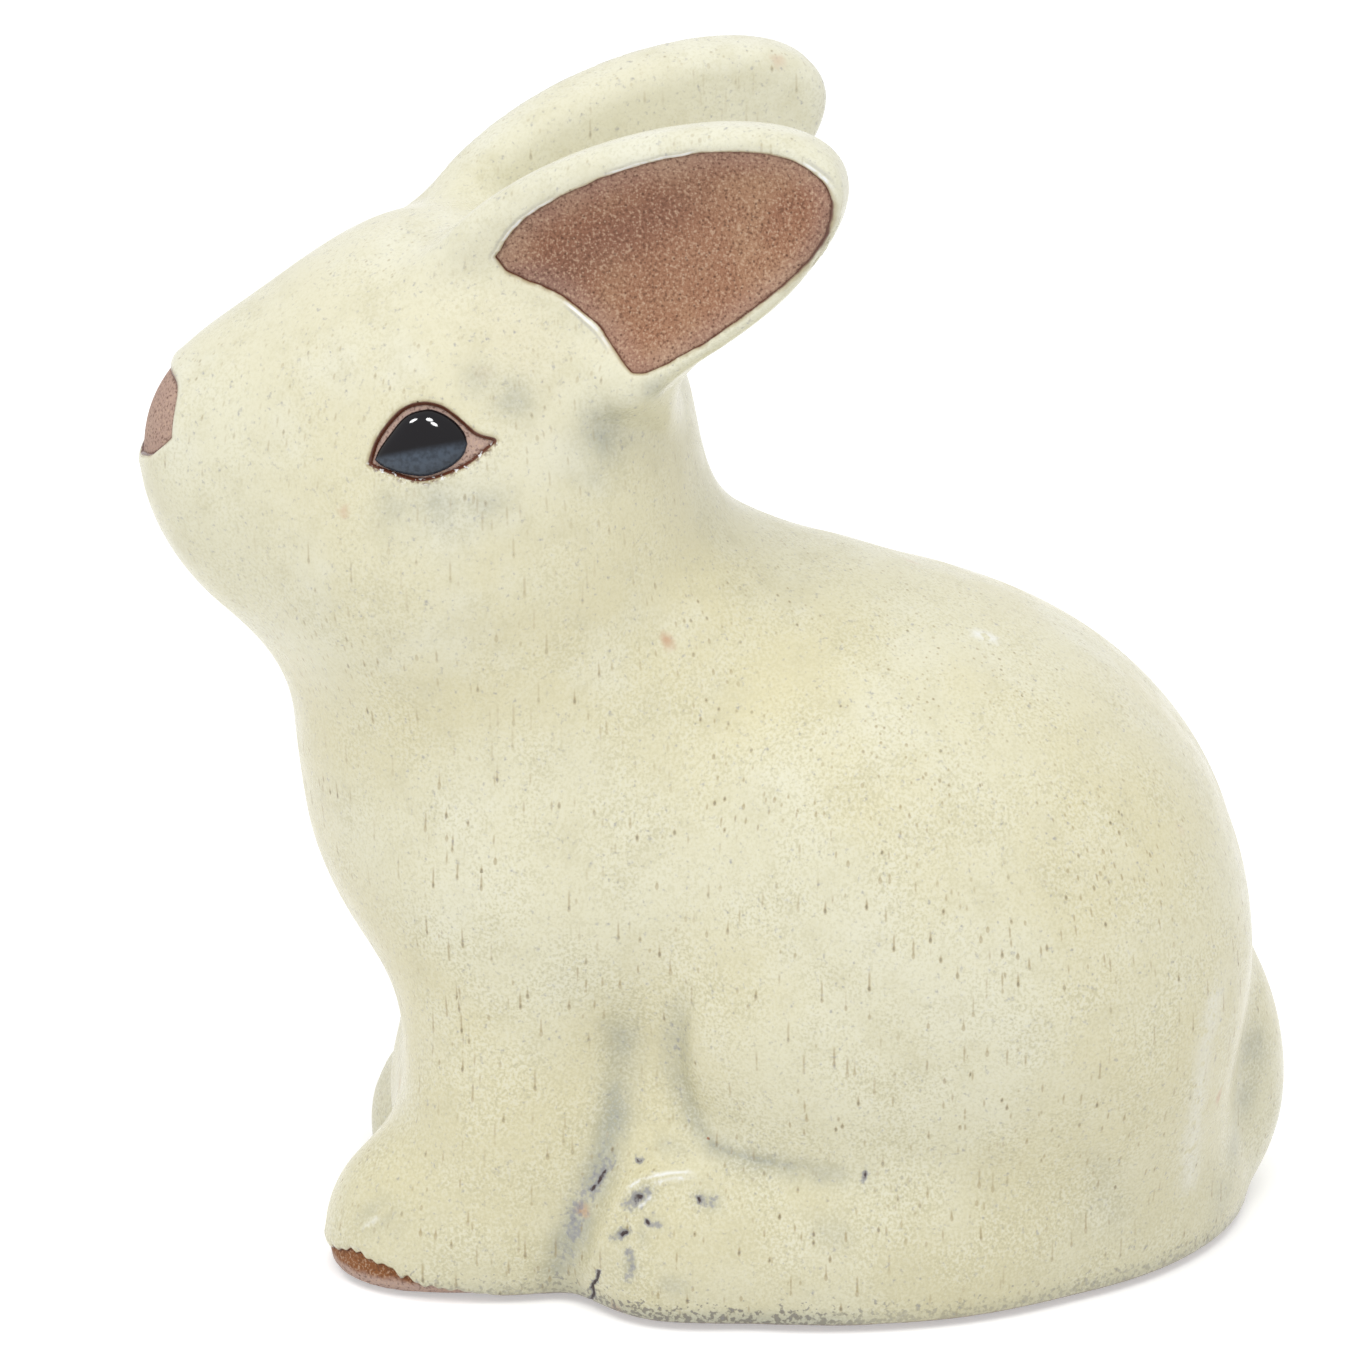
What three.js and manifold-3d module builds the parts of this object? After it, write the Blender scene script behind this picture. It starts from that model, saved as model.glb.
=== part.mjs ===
import * as THREE from 'three';
import { mergeVertices } from 'three/addons/utils/BufferGeometryUtils.js';
import Module from 'manifold-3d';

// Rabbit figurine in glazed stoneware, in millimetres, +Z up.
// The nose points along -Y and +X is the rabbit's left side.
// Body and head are hollow castings, luted together along the jaw. The ears, hind feet and
// tail are luted on, and a cream glaze coats all of it except the ear faces, nose, eyes, one
// toe and the base.

// Main sizes.
const barrelWidth = 55;
const flankWidth = 53;
const chestHeight = 42;
const backLength = 34.7;
const neckRise = 32.5;
const neckReach = 6.9;
const legSpread = 12.5;

// Anchors that the forms are placed from: middle of the hips on the base, left hip,
// middle of the chest, left front leg on the base, and middle of the skull.
const hips = [0, backLength, 0];
const leftHip = [barrelWidth / 2, backLength, 0];
const breast = [0, 0, chestHeight];
const leftFrontLeg = [legSpread, 0, 0];
const head = [0, -neckReach, chestHeight + neckRise];

// Swelling forms of the body: centre from the anchor, half sizes along X, Y, Z, and the
// pitch in degrees that lifts the rear end.
const torso = { anchor: hips, centre: [0, -10.3, 34.3], radii: [flankWidth / 2, 35, 26], pitch: -15 };
const rump = { anchor: hips, centre: [0, 0, 23.2], radii: [barrelWidth / 2, 24.2, 28.5], pitch: 0 };
const seat = { anchor: hips, centre: [0, -5.6, 5], radii: [barrelWidth / 2, 33, 19.7], pitch: 0 };
const belly = { anchor: hips, centre: [0, -20.2, 11.3], radii: [23.5, 30, 24], pitch: 0 };
const chest = { anchor: breast, centre: [0, -0.2, 0], radii: [20.5, 22.4, 24.2], pitch: 18 };
const neck = { anchor: breast, centre: [0, -3.2, 14.3], radii: [19, 20, 18], pitch: -11 };
const nape = { anchor: breast, centre: [0, 12, 12.8], radii: [13.5, 14.6, 7], pitch: 0 };
const skull = { anchor: head, centre: [0, 0, 0], radii: [19, 19.7, 17.3], pitch: -37 };
const muzzle = { anchor: head, centre: [0, -12.8, -6.8], radii: [12.3, 18, 13.7], pitch: -38 };
const tail = { anchor: hips, centre: [0, 22.4, 15], radii: [9, 7.2, 14], pitch: 12 };

// Forms that come in pairs are given for the left side.
const cheek = { anchor: head, centre: [9, -1.5, -8.5], radii: [11.5, 15, 13], pitch: 0 };
const haunch = { anchor: leftHip, centre: [-12.1, -3.6, 26.5], radii: [13.8, 24.5, 21.5], pitch: -10, yaw: 9 };
const foot = { anchor: leftHip, centre: [-7.2, -12.1, 5.5], radii: [9.6, 20, 11], pitch: 0 };
const toes = { anchor: leftHip, centre: [-7.9, -25.6, 5], radii: [8.6, 8.5, 9.3], pitch: 0 };
const paw = { anchor: leftFrontLeg, centre: [0, -12.3, 2.9], radii: [8.6, 9.2, 10], pitch: 0 };

// Front leg from shoulder to ankle, and how far the right paw and ankle stand behind the left.
const shoulder = [-2.5, -3.1, 35];
const ankle = [0, -4.5, 6];
const shoulderRadius = 10.2;
const ankleRadius = 10.4;
const rightPawSetBack = 4.2;
const rightAnkleSetBack = 5.4;

// How widely neighbouring forms melt into each other.
const torsoBlend = 6;
const neckBlend = 7;
const muzzleBlend = 9;
const legBlend = 4;
const shoulderBlend = 9;
const haunchFrontBlend = 1.6;
const haunchBackBlend = 13.6;
const haunchFade = 20;
const footBlend = 4;
const tailBlend = 2;
const baseRounding = 1.5;

// Wall of the casting, its floor and the hole that the slip is poured out through.
const wallThickness = 4;
const floorThickness = 4.5;
const pourHoleRadius = 8;
const pourHoleY = 4;

// Glaze coat, the clearance under it, and the bare foot line above the base.
const glazeThickness = 0.45;
const seam = 0.3;
const glazeLine = 0.8;

// Ears: a leaf from root to tip, given from the middle of the skull. It faces outwards, is
// cupped along its edges and tapers to the tip by a share of its width. Its bare face is an
// oval, in the leaf's own lengths along and across, cut off by a line across the root.
const earRoot = [7.5, -5.6, 7.9];
const earTip = [15.5, 30.2, 25.9];
const earFacing = [1, -0.25, 0.1];
const earHalfWidth = 10.1;
const earHalfThickness = 3.1;
const earCup = 1.3;
const earTaper = 0.08;
const earFaceMiddle = [3, -0.4];
const earFaceSize = [16.7, 7.8];
const earFaceRoot = [-9.4, 5.2];
const earFaceRootEnd = [-2.5, -7.6];

// Eyes: an almond opening in the glaze with a drop of black glaze in it.
const eyeForward = 4.3;
const eyeRise = 3.6;
const eyeLength = 10.4;
const eyeHeight = 6.2;
const eyeTilt = 9.4;
const eyeRing = 0.6;
const eyeBulge = 0.7;

// Bare clay of the nose pad and of the left front toe.
const noseWidth = 10.2;
const noseHeight = 6.6;
const noseRise = 0.5;
const toePatch = { anchor: leftFrontLeg, centre: [3, -17.9, 0.8], radii: [8, 5.5, 2.4], pitch: 0 };

// Luted seam between neck and head: a plane this far under the middle of the skull, which
// climbs towards the back by an angle in degrees.
const jawDrop = 14.3;
const jawRise = 18;

// Depth of the luted seats of feet and tail, and how far each lobe's edge reaches past its form.
const seatDepth = 1.2;
const lobeMargin = 0.7;

// Fineness of the faceted skin.
const spokes = 44;
const stackSteps = 11;
const fanSteps = 18;
const hollowSpokes = 20;
const seatSpokes = 28;
const eggSegments = 20;
const leafSegments = 26;
const edgeSegments = 8;

const clay = new THREE.MeshStandardMaterial({ color: 0xa4785a, roughness: 0.9, metalness: 0 });
const glaze = new THREE.MeshStandardMaterial({ color: 0xe2ddc2, roughness: 0.2, metalness: 0 });
const black = new THREE.MeshStandardMaterial({ color: 0x17161a, roughness: 0.08, metalness: 0 });

const wasm = await Module();
wasm.setup();

const radians = THREE.MathUtils.degToRad;

function smoothMin(a, b, blend) {
  const h = THREE.MathUtils.clamp(0.5 + (0.5 * (b - a)) / blend, 0, 1);
  return b + (a - b) * h - blend * h * (1 - h);
}

function smoothMax(a, b, blend) {
  return -smoothMin(-a, -b, blend);
}

// Signed distance to an egg, close to exact near its surface. Its yaw swings the rear end inwards.
function eggDistance(x, y, z, { anchor, centre, radii, pitch, yaw = 0 }) {
  const dx = x - anchor[0] - centre[0];
  const dy = y - anchor[1] - centre[1];
  const dz = z - anchor[2] - centre[2];
  const across = dx * Math.cos(radians(yaw)) + dy * Math.sin(radians(yaw));
  const back = dy * Math.cos(radians(yaw)) - dx * Math.sin(radians(yaw));
  const px = across / radii[0];
  const py = (back * Math.cos(radians(pitch)) + dz * Math.sin(radians(pitch))) / radii[1];
  const pz = (dz * Math.cos(radians(pitch)) - back * Math.sin(radians(pitch))) / radii[2];
  const unit = Math.hypot(px, py, pz);
  const slope = Math.hypot(px / radii[0], py / radii[1], pz / radii[2]);
  return (unit * (unit - 1)) / Math.max(slope, 1e-6);
}

// Signed distance to the front leg, which tapers from shoulder to ankle.
function legDistance(x, y, z) {
  const from = new THREE.Vector3(...shoulder);
  const span = new THREE.Vector3(...ankle).sub(from);
  const offset = new THREE.Vector3(x - leftFrontLeg[0], y - leftFrontLeg[1], z - leftFrontLeg[2]).sub(from);
  const share = THREE.MathUtils.clamp(offset.dot(span) / span.lengthSq(), 0, 1);
  const radius = THREE.MathUtils.lerp(shoulderRadius, ankleRadius, share);
  return offset.addScaledVector(span, -share).length() - radius;
}

// Barrel, neck and head, without limbs: the shape that the hollow follows.
function coreForm(x, y, z) {
  let d = eggDistance(x, y, z, torso);
  d = smoothMin(d, eggDistance(x, y, z, rump), torsoBlend);
  d = smoothMin(d, eggDistance(x, y, z, belly), torsoBlend);
  d = smoothMin(d, eggDistance(x, y, z, chest), neckBlend);
  d = smoothMin(d, eggDistance(x, y, z, neck), neckBlend);
  d = smoothMin(d, eggDistance(x, y, z, nape), neckBlend);
  const head = smoothMin(eggDistance(x, y, z, skull), eggDistance(x, y, z, muzzle), muzzleBlend);
  return smoothMin(d, head, torsoBlend);
}

// The core with cheeks, haunches and front legs: what feet and tail are luted to.
function trunkForm(x, y, z) {
  const side = Math.abs(x);
  const behind = y - haunch.anchor[1] - haunch.centre[1];
  const above = z - haunch.centre[2];
  const rise = THREE.MathUtils.smoothstep(0.7 * (behind + above), -0.45 * haunchFade, 0.55 * haunchFade);
  const haunchBlend = THREE.MathUtils.lerp(haunchFrontBlend, haunchBackBlend, rise);
  const upLeg = THREE.MathUtils.smoothstep(z, shoulder[2] / 2, shoulder[2]);
  const lowness = THREE.MathUtils.clamp((shoulder[2] - z) / (shoulder[2] - ankle[2]), 0, 1);
  const legY = x < 0 ? y - rightAnkleSetBack * lowness : y;
  const pawY = x < 0 ? y - rightPawSetBack : y;
  let d = coreForm(x, y, z);
  d = smoothMin(d, eggDistance(x, y, z, seat), torsoBlend);
  d = smoothMin(d, eggDistance(side, y, z, cheek), torsoBlend);
  d = smoothMin(d, eggDistance(side, y, z, haunch), haunchBlend);
  d = smoothMin(d, legDistance(side, legY, z), THREE.MathUtils.lerp(legBlend, shoulderBlend, upLeg));
  return smoothMin(d, eggDistance(side, pawY, z, paw), legBlend);
}

function footForm(x, y, z) {
  return smoothMin(eggDistance(x, y, z, foot), eggDistance(x, y, z, toes), legBlend);
}

// The whole figure under its ears, with a rounded edge around the flat base.
function figureForm(x, y, z) {
  let d = trunkForm(x, y, z);
  d = smoothMin(d, footForm(Math.abs(x), y, z), footBlend);
  d = smoothMin(d, eggDistance(x, y, z, tail), tailBlend);
  return smoothMax(d, -z, baseRounding);
}

function gradient(form, p) {
  const step = glazeThickness / 2;
  return new THREE.Vector3(
    form(p.x + step, p.y, p.z) - form(p.x - step, p.y, p.z),
    form(p.x, p.y + step, p.z) - form(p.x, p.y - step, p.z),
    form(p.x, p.y, p.z + step) - form(p.x, p.y, p.z - step),
  ).normalize();
}

// Longer than the figure in any direction.
const farAway = 2 * (backLength + neckRise + neckReach);

// Distance from the origin to the outermost crossing of a form's inset surface along a ray.
function reach(form, inset, origin, direction) {
  const p = new THREE.Vector3();
  let distance = farAway;
  for (let i = 0; i < 300; i += 1) {
    p.copy(origin).addScaledVector(direction, distance);
    const gap = form(p.x, p.y, p.z) + inset;
    if (gap < 0.003 || distance < 0.05) break;
    distance -= gap * 0.8;
  }
  return Math.max(distance, 0.05);
}

// Where a line in the middle plane enters and leaves a form's inset surface.
function middleSpan(form, inset, start, direction) {
  const p = new THREE.Vector3();
  let first = null;
  let last = null;
  for (let i = 0; i < 300; i += 1) {
    const t = (farAway * i) / 300;
    p.copy(start).addScaledVector(direction, t);
    if (form(p.x, p.y, p.z) + inset > 0) continue;
    if (first === null) first = t;
    last = t;
  }
  return first === null ? null : [first, last];
}

// Section planes: a level stack up to the chest, then a fan that turns about a line
// in front of the throat until it reaches the nose.
const noseTip = head[1] + muzzle.centre[1] - muzzle.radii[1];
const fanPivot = new THREE.Vector3(0, noseTip, chestHeight);

function sections(form, inset, heights) {
  const planes = [];
  const stackStart = new THREE.Vector3(0, noseTip, 0);
  const backwards = new THREE.Vector3(0, 1, 0);
  for (const z of heights) {
    stackStart.z = z;
    const span = middleSpan(form, inset, stackStart, backwards);
    const centre = stackStart.clone().addScaledVector(backwards, (span[0] + span[1]) / 2);
    planes.push({ centre, along: backwards, up: new THREE.Vector3(0, 0, 1) });
  }
  for (let k = 1; k < fanSteps; k += 1) {
    const angle = ((k / fanSteps) * Math.PI) / 2;
    const along = new THREE.Vector3(0, Math.cos(angle), Math.sin(angle));
    const up = new THREE.Vector3(0, -Math.sin(angle), Math.cos(angle));
    const span = middleSpan(form, inset, fanPivot, along);
    if (span === null || span[1] - span[0] < fanPivot.z / 14) break;
    const centre = fanPivot.clone().addScaledVector(along, (span[0] + span[1]) / 2);
    planes.push({ centre, along, up });
  }
  return planes;
}

// Rings of points where the section planes meet the surface, closed by a point at the nose.
function ringsOf(form, inset, heights, count) {
  const planes = sections(form, inset, heights);
  const rings = planes.map(({ centre, along }) => {
    const ring = [];
    for (let i = 0; i < count; i += 1) {
      const angle = (i / count) * Math.PI * 2;
      const direction = new THREE.Vector3(Math.sin(angle), 0, 0).addScaledVector(along, Math.cos(angle));
      const distance = reach(form, inset, centre, direction);
      ring.push(centre.clone().addScaledVector(direction, distance));
    }
    return ring;
  });
  const last = planes[planes.length - 1];
  const pole = last.centre.clone().addScaledVector(last.up, reach(form, inset, last.centre, last.up));
  return { rings, pole };
}

// The same rings moved in square to the surface. Level rings stay at their height.
function inwards({ rings, pole }, depth, levelRings) {
  const moved = (p, level) => {
    const n = gradient(figureForm, p);
    if (level) n.setZ(0).normalize();
    return p.clone().addScaledVector(n, -depth);
  };
  return {
    rings: rings.map((ring, k) => ring.map((p) => moved(p, k < levelRings))),
    pole: moved(pole, false),
  };
}

// Triangles between rings and over the pole; base closes the first ring with a fan.
function skinTriangles(target, { rings, pole }, base, outwards) {
  const first = target.points.length;
  const count = rings[0].length;
  rings.forEach((ring) => target.points.push(...ring));
  target.points.push(pole);
  const at = (k, i) => first + k * count + (i % count);
  const poleIndex = first + rings.length * count;
  const add = (a, b, c) => target.faces.push(...(outwards ? [a, b, c] : [a, c, b]));
  for (let k = 0; k < rings.length - 1; k += 1) {
    for (let i = 0; i < count; i += 1) {
      add(at(k, i), at(k + 1, i), at(k, i + 1));
      add(at(k, i + 1), at(k + 1, i), at(k + 1, i + 1));
    }
  }
  for (let i = 0; i < count; i += 1) {
    add(at(rings.length - 1, i), poleIndex, at(rings.length - 1, i + 1));
  }
  if (base) {
    const middle = new THREE.Vector3();
    rings[0].forEach((p) => middle.addScaledVector(p, 1 / count));
    target.points.push(middle);
    for (let i = 0; i < count; i += 1) {
      add(target.points.length - 1, at(0, i), at(0, i + 1));
    }
  }
  return { at, count };
}

function solidFrom({ points, faces }) {
  const vertProperties = new Float32Array(points.flatMap((p) => [p.x, p.y, p.z]));
  const triVerts = new Uint32Array(faces);
  return new wasm.Manifold(new wasm.Mesh({ numProp: 3, vertProperties, triVerts }));
}

function closedSkin(outline) {
  const target = { points: [], faces: [] };
  skinTriangles(target, outline, true, true);
  return solidFrom(target);
}

// A thin coat between two skins, open at the base.
function coatBetween(outer, inner) {
  const target = { points: [], faces: [] };
  const outside = skinTriangles(target, outer, false, true);
  const inside = skinTriangles(target, inner, false, false);
  for (let i = 0; i < outside.count; i += 1) {
    target.faces.push(outside.at(0, i), outside.at(0, i + 1), inside.at(0, i));
    target.faces.push(outside.at(0, i + 1), inside.at(0, i + 1), inside.at(0, i));
  }
  return solidFrom(target);
}

function solidOf(geometry) {
  const bare = geometry.clone();
  bare.deleteAttribute('normal');
  bare.deleteAttribute('uv');
  const merged = mergeVertices(bare, 1e-4);
  const vertProperties = new Float32Array(merged.attributes.position.array);
  const triVerts = new Uint32Array(merged.index.array);
  return new wasm.Manifold(new wasm.Mesh({ numProp: 3, vertProperties, triVerts }));
}

function geometryOf(solid) {
  const { vertProperties, triVerts } = solid.getMesh();
  const geometry = new THREE.BufferGeometry();
  geometry.setAttribute('position', new THREE.BufferAttribute(new Float32Array(vertProperties), 3));
  geometry.setIndex(new THREE.BufferAttribute(new Uint32Array(triVerts), 1));
  geometry.computeVertexNormals();
  return geometry;
}

// The right-hand copy of a left-hand geometry, its faces turned so that they still point out.
function mirrored(geometry) {
  const copy = geometry.clone();
  if (copy.index === null) copy.setIndex(Array.from({ length: copy.attributes.position.count }, (_, i) => i));
  const index = copy.index.array;
  for (let i = 0; i < index.length; i += 3) {
    [index[i], index[i + 1]] = [index[i + 1], index[i]];
  }
  return copy.scale(-1, 1, 1);
}

function onSide(geometry, side) {
  return solidOf(side > 0 ? geometry : mirrored(geometry));
}

// An egg as a mesh, swollen by a margin.
function eggGeometry(egg, margin) {
  const geometry = new THREE.SphereGeometry(1, eggSegments, eggSegments / 2);
  geometry.scale(egg.radii[0] + margin, egg.radii[1] + margin, egg.radii[2] + margin);
  geometry.rotateX(radians(egg.pitch));
  return geometry.translate(...egg.anchor).translate(...egg.centre);
}

// Leaf-shaped pillow of the ear in its own frame: u from root to tip, v across, w to the face.
const earStart = new THREE.Vector3(...earRoot).add(new THREE.Vector3(...head));
const earU = new THREE.Vector3(...earTip).sub(new THREE.Vector3(...earRoot));
const earHalfLength = earU.length() / 2;
earU.normalize();
const earW = new THREE.Vector3(...earFacing);
earW.addScaledVector(earU, -earW.dot(earU)).normalize();
const earV = new THREE.Vector3().crossVectors(earW, earU);
const earMiddle = earStart.clone().addScaledVector(earU, earHalfLength);

function earPoint(s, t, h) {
  const cup = earCup * (t / earHalfWidth) ** 2;
  return earMiddle.clone().addScaledVector(earU, s).addScaledVector(earV, t).addScaledVector(earW, h + cup);
}

function earPillow(inset) {
  const points = [earPoint(0, 0, earHalfThickness - inset)];
  const faces = [];
  const squareness = 0.55;
  for (let k = 1; k < edgeSegments; k += 1) {
    const turn = (k / edgeSegments) * Math.PI;
    const spread = Math.sin(turn) ** squareness;
    const height = Math.sign(Math.cos(turn)) * Math.abs(Math.cos(turn)) ** squareness;
    for (let i = 0; i < leafSegments; i += 1) {
      const around = (i / leafSegments) * Math.PI * 2;
      const s = (earHalfLength - inset) * spread * Math.cos(around);
      const t = (earHalfWidth - inset) * spread * Math.sin(around) * (1 - (earTaper * s) / earHalfLength);
      points.push(earPoint(s, t, (earHalfThickness - inset) * height));
    }
  }
  points.push(earPoint(0, 0, inset - earHalfThickness));
  const at = (k, i) => 1 + (k - 1) * leafSegments + (i % leafSegments);
  for (let i = 0; i < leafSegments; i += 1) {
    faces.push(0, at(1, i), at(1, i + 1));
    faces.push(points.length - 1, at(edgeSegments - 1, i + 1), at(edgeSegments - 1, i));
    for (let k = 1; k < edgeSegments - 1; k += 1) {
      faces.push(at(k, i), at(k + 1, i), at(k, i + 1));
      faces.push(at(k, i + 1), at(k + 1, i), at(k + 1, i + 1));
    }
  }
  const geometry = new THREE.BufferGeometry();
  geometry.setAttribute('position', new THREE.Float32BufferAttribute(points.flatMap((p) => p.toArray()), 3));
  geometry.setIndex(faces);
  return geometry;
}

// What bares the ear's clay: an oval prism over its face, cut off square to the leaf at the root.
function earWindow(side) {
  const outline = new THREE.Shape();
  outline.absellipse(...earFaceMiddle, ...earFaceSize, 0, Math.PI * 2);
  const extrusion = { depth: earHalfWidth, bevelEnabled: false, curveSegments: 18 };
  const prism = new THREE.ExtrudeGeometry(outline, extrusion);
  prism.applyMatrix4(new THREE.Matrix4().makeBasis(earU, earV, earW).setPosition(earMiddle));
  const start = earMiddle.clone().addScaledVector(earU, earFaceRoot[0]).addScaledVector(earV, earFaceRoot[1]);
  const end = earMiddle.clone().addScaledVector(earU, earFaceRootEnd[0]).addScaledVector(earV, earFaceRootEnd[1]);
  const across = new THREE.Vector3().crossVectors(earW, end.sub(start)).normalize();
  const window = solidOf(prism).trimByPlane(across.toArray(), across.dot(start));
  return side > 0 ? window : window.mirror([1, 0, 0]);
}

// Frame on the left side of the head at the eye: along it to the rear, up, and outwards.
function eyeFrame() {
  const start = new THREE.Vector3(0, head[1] - eyeForward, head[2] + eyeRise);
  const sideways = new THREE.Vector3(1, 0, 0);
  const surface = start.clone().addScaledVector(sideways, reach(figureForm, 0, start, sideways));
  const out = gradient(figureForm, surface);
  const tilt = radians(eyeTilt);
  const along = new THREE.Vector3(0, Math.cos(tilt), Math.sin(tilt));
  along.addScaledVector(out, -along.dot(out)).normalize();
  const up = new THREE.Vector3().crossVectors(out, along);
  return new THREE.Matrix4().makeBasis(along, up, out).setPosition(surface);
}

function almondPrism(length, height) {
  const outline = new THREE.Shape();
  outline.moveTo(-length / 2, -height * 0.1);
  outline.quadraticCurveTo(-length * 0.1, height * 1.1, length / 2, 0);
  outline.quadraticCurveTo(-length * 0.05, -height * 1.0, -length / 2, -height * 0.1);
  const extrusion = { depth: eyeLength, bevelEnabled: false, curveSegments: 10 };
  const prism = new THREE.ExtrudeGeometry(outline, extrusion);
  return prism.translate(0, 0, -eyeLength / 2).applyMatrix4(eyeFrame());
}

function eyeDome() {
  const dome = new THREE.SphereGeometry(1, 24, 14);
  dome.scale(eyeLength * 0.62, eyeHeight * 0.7, glazeThickness + seam + eyeBulge);
  dome.translate(0, 0, -glazeThickness - seam);
  return dome.applyMatrix4(eyeFrame());
}

// Shield-shaped prism in front of the muzzle that bares the nose pad.
function nosePrism() {
  const outline = new THREE.Shape();
  outline.moveTo(0, -noseHeight / 2);
  outline.quadraticCurveTo(noseWidth * 0.5, -noseHeight * 0.3, noseWidth / 2, noseHeight * 0.25);
  outline.quadraticCurveTo(noseWidth * 0.4, noseHeight * 0.5, 0, noseHeight / 2);
  outline.quadraticCurveTo(-noseWidth * 0.4, noseHeight * 0.5, -noseWidth / 2, noseHeight * 0.25);
  outline.quadraticCurveTo(-noseWidth * 0.5, -noseHeight * 0.3, 0, -noseHeight / 2);
  const extrusion = { depth: 2 * noseWidth, bevelEnabled: false, curveSegments: 8 };
  const prism = new THREE.ExtrudeGeometry(outline, extrusion);
  prism.rotateX(Math.PI / 2);
  return prism.translate(0, noseTip + 1.4 * noseWidth, head[2] + noseRise);
}

function pourHole() {
  const height = floorThickness + 6;
  const cylinder = new THREE.CylinderGeometry(pourHoleRadius, pourHoleRadius, height, 28);
  cylinder.rotateX(Math.PI / 2);
  return cylinder.translate(0, pourHoleY, height / 2 - 3);
}

// Skins of the figure: the glaze surface, its underside, and the clay a seam below it.
const heights = [0, glazeLine];
for (let k = 1; k <= stackSteps; k += 1) {
  heights.push(glazeLine + (fanPivot.z - glazeLine) * (k / stackSteps) ** 1.1);
}
const outerRings = ringsOf(figureForm, 0, heights, spokes);
const glazeRings = { rings: outerRings.rings.slice(1), pole: outerRings.pole };
const clayDepth = glazeThickness + seam;
const underGlaze = closedSkin(inwards(outerRings, glazeThickness, 2));
const claySkin = closedSkin(inwards(outerRings, clayDepth, 2));
const glazeCoat = coatBetween(glazeRings, inwards(glazeRings, glazeThickness, 1));

// The hollow left by the drained slip, and the trunk's surface at the luted seats.
const hollowHeights = [];
for (let k = 0; k <= stackSteps; k += 2) {
  hollowHeights.push(THREE.MathUtils.lerp(floorThickness, fanPivot.z, k / stackSteps));
}
const hollow = closedSkin(ringsOf(coreForm, clayDepth + wallThickness, hollowHeights, hollowSpokes));
const seatHeights = [-4, ...heights.slice(1)];
const lobeSeat = closedSkin(ringsOf(trunkForm, clayDepth + seatDepth, seatHeights, seatSpokes));
const bodySeatDepth = clayDepth + seatDepth + seam;
const bodySeat = closedSkin(ringsOf(trunkForm, bodySeatDepth, seatHeights, seatSpokes));

function footBlock(side, margin) {
  return onSide(eggGeometry(foot, margin), side).add(onSide(eggGeometry(toes, margin), side));
}

function tailBlock(margin) {
  return solidOf(eggGeometry(tail, margin));
}

function lobe(block) {
  return claySkin.intersect(block).subtract(lobeSeat);
}

function pocket(block) {
  return block.subtract(bodySeat);
}

// The hollow casting's shell on one side of the luted seam at the jaw: head above, neck below.
function shellAt(side) {
  const across = new THREE.Vector3(0, -Math.sin(radians(jawRise)), Math.cos(radians(jawRise)));
  const middle = new THREE.Vector3(...head).setZ(head[2] - jawDrop);
  const offset = across.dot(middle) * side + seam / 2;
  return claySkin.subtract(hollow).trimByPlane(across.multiplyScalar(side).toArray(), offset);
}

function clayBody() {
  return shellAt(-1)
    .subtract(solidOf(pourHole()))
    .subtract(pocket(footBlock(1, lobeMargin + seam)))
    .subtract(pocket(footBlock(-1, lobeMargin + seam)))
    .subtract(pocket(tailBlock(lobeMargin + seam)));
}

function bodyGlaze() {
  let coat = glazeCoat.subtract(solidOf(nosePrism())).subtract(solidOf(eggGeometry(toePatch, 0)));
  for (const side of [1, -1]) {
    coat = coat.subtract(onSide(earPillow(-seam), side));
    coat = coat.subtract(onSide(almondPrism(eyeLength, eyeHeight), side));
  }
  return coat;
}

function earClay(side) {
  return onSide(earPillow(clayDepth), side).subtract(underGlaze);
}

function earCoat(side) {
  return onSide(earPillow(0), side)
    .subtract(onSide(earPillow(glazeThickness), side))
    .subtract(earWindow(side))
    .subtract(underGlaze);
}

function eyeDrop(side) {
  const almond = onSide(almondPrism(eyeLength - 2 * eyeRing, eyeHeight - 2 * eyeRing), side);
  return onSide(eyeDome(), side).intersect(almond).subtract(underGlaze);
}

const rabbit = new THREE.Group();

function addPiece(name, solid, material) {
  const mesh = new THREE.Mesh(geometryOf(solid), material);
  mesh.name = name;
  rabbit.add(mesh);
}

addPiece('clay_body', clayBody(), clay);
addPiece('clay_head', shellAt(1), clay);
addPiece('tail', lobe(tailBlock(lobeMargin)), clay);
addPiece('body_glaze', bodyGlaze(), glaze);
for (const [name, side] of [['left', 1], ['right', -1]]) {
  addPiece(`${name}_hind_foot`, lobe(footBlock(side, lobeMargin)), clay);
  addPiece(`${name}_ear`, earClay(side), clay);
  addPiece(`${name}_ear_glaze`, earCoat(side), glaze);
  addPiece(`${name}_eye`, eyeDrop(side), black);
}

// The origin is under the middle of the figure's box.
const box = new THREE.Box3().setFromObject(rabbit);
rabbit.position.set(-(box.min.x + box.max.x) / 2, -(box.min.y + box.max.y) / 2, -box.min.z);

export default rabbit;
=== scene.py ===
import bpy
import bmesh
import math
import numpy as np
from mathutils import Matrix, Vector
from mathutils.bvhtree import BVHTree


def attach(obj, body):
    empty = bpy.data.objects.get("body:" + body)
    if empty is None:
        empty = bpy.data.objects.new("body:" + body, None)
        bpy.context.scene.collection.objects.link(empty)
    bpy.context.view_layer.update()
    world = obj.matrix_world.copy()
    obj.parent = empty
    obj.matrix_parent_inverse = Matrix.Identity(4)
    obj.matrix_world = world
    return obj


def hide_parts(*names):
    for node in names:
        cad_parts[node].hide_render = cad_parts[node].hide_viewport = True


# A sitting rabbit in glazed stoneware. The skin is sculpted in millimetres, from a point on the
# base under the middle of the chest, with -Y forwards and +X to the rabbit's left, and every
# piece is put into the frame, in metres, when its mesh is done.

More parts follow.
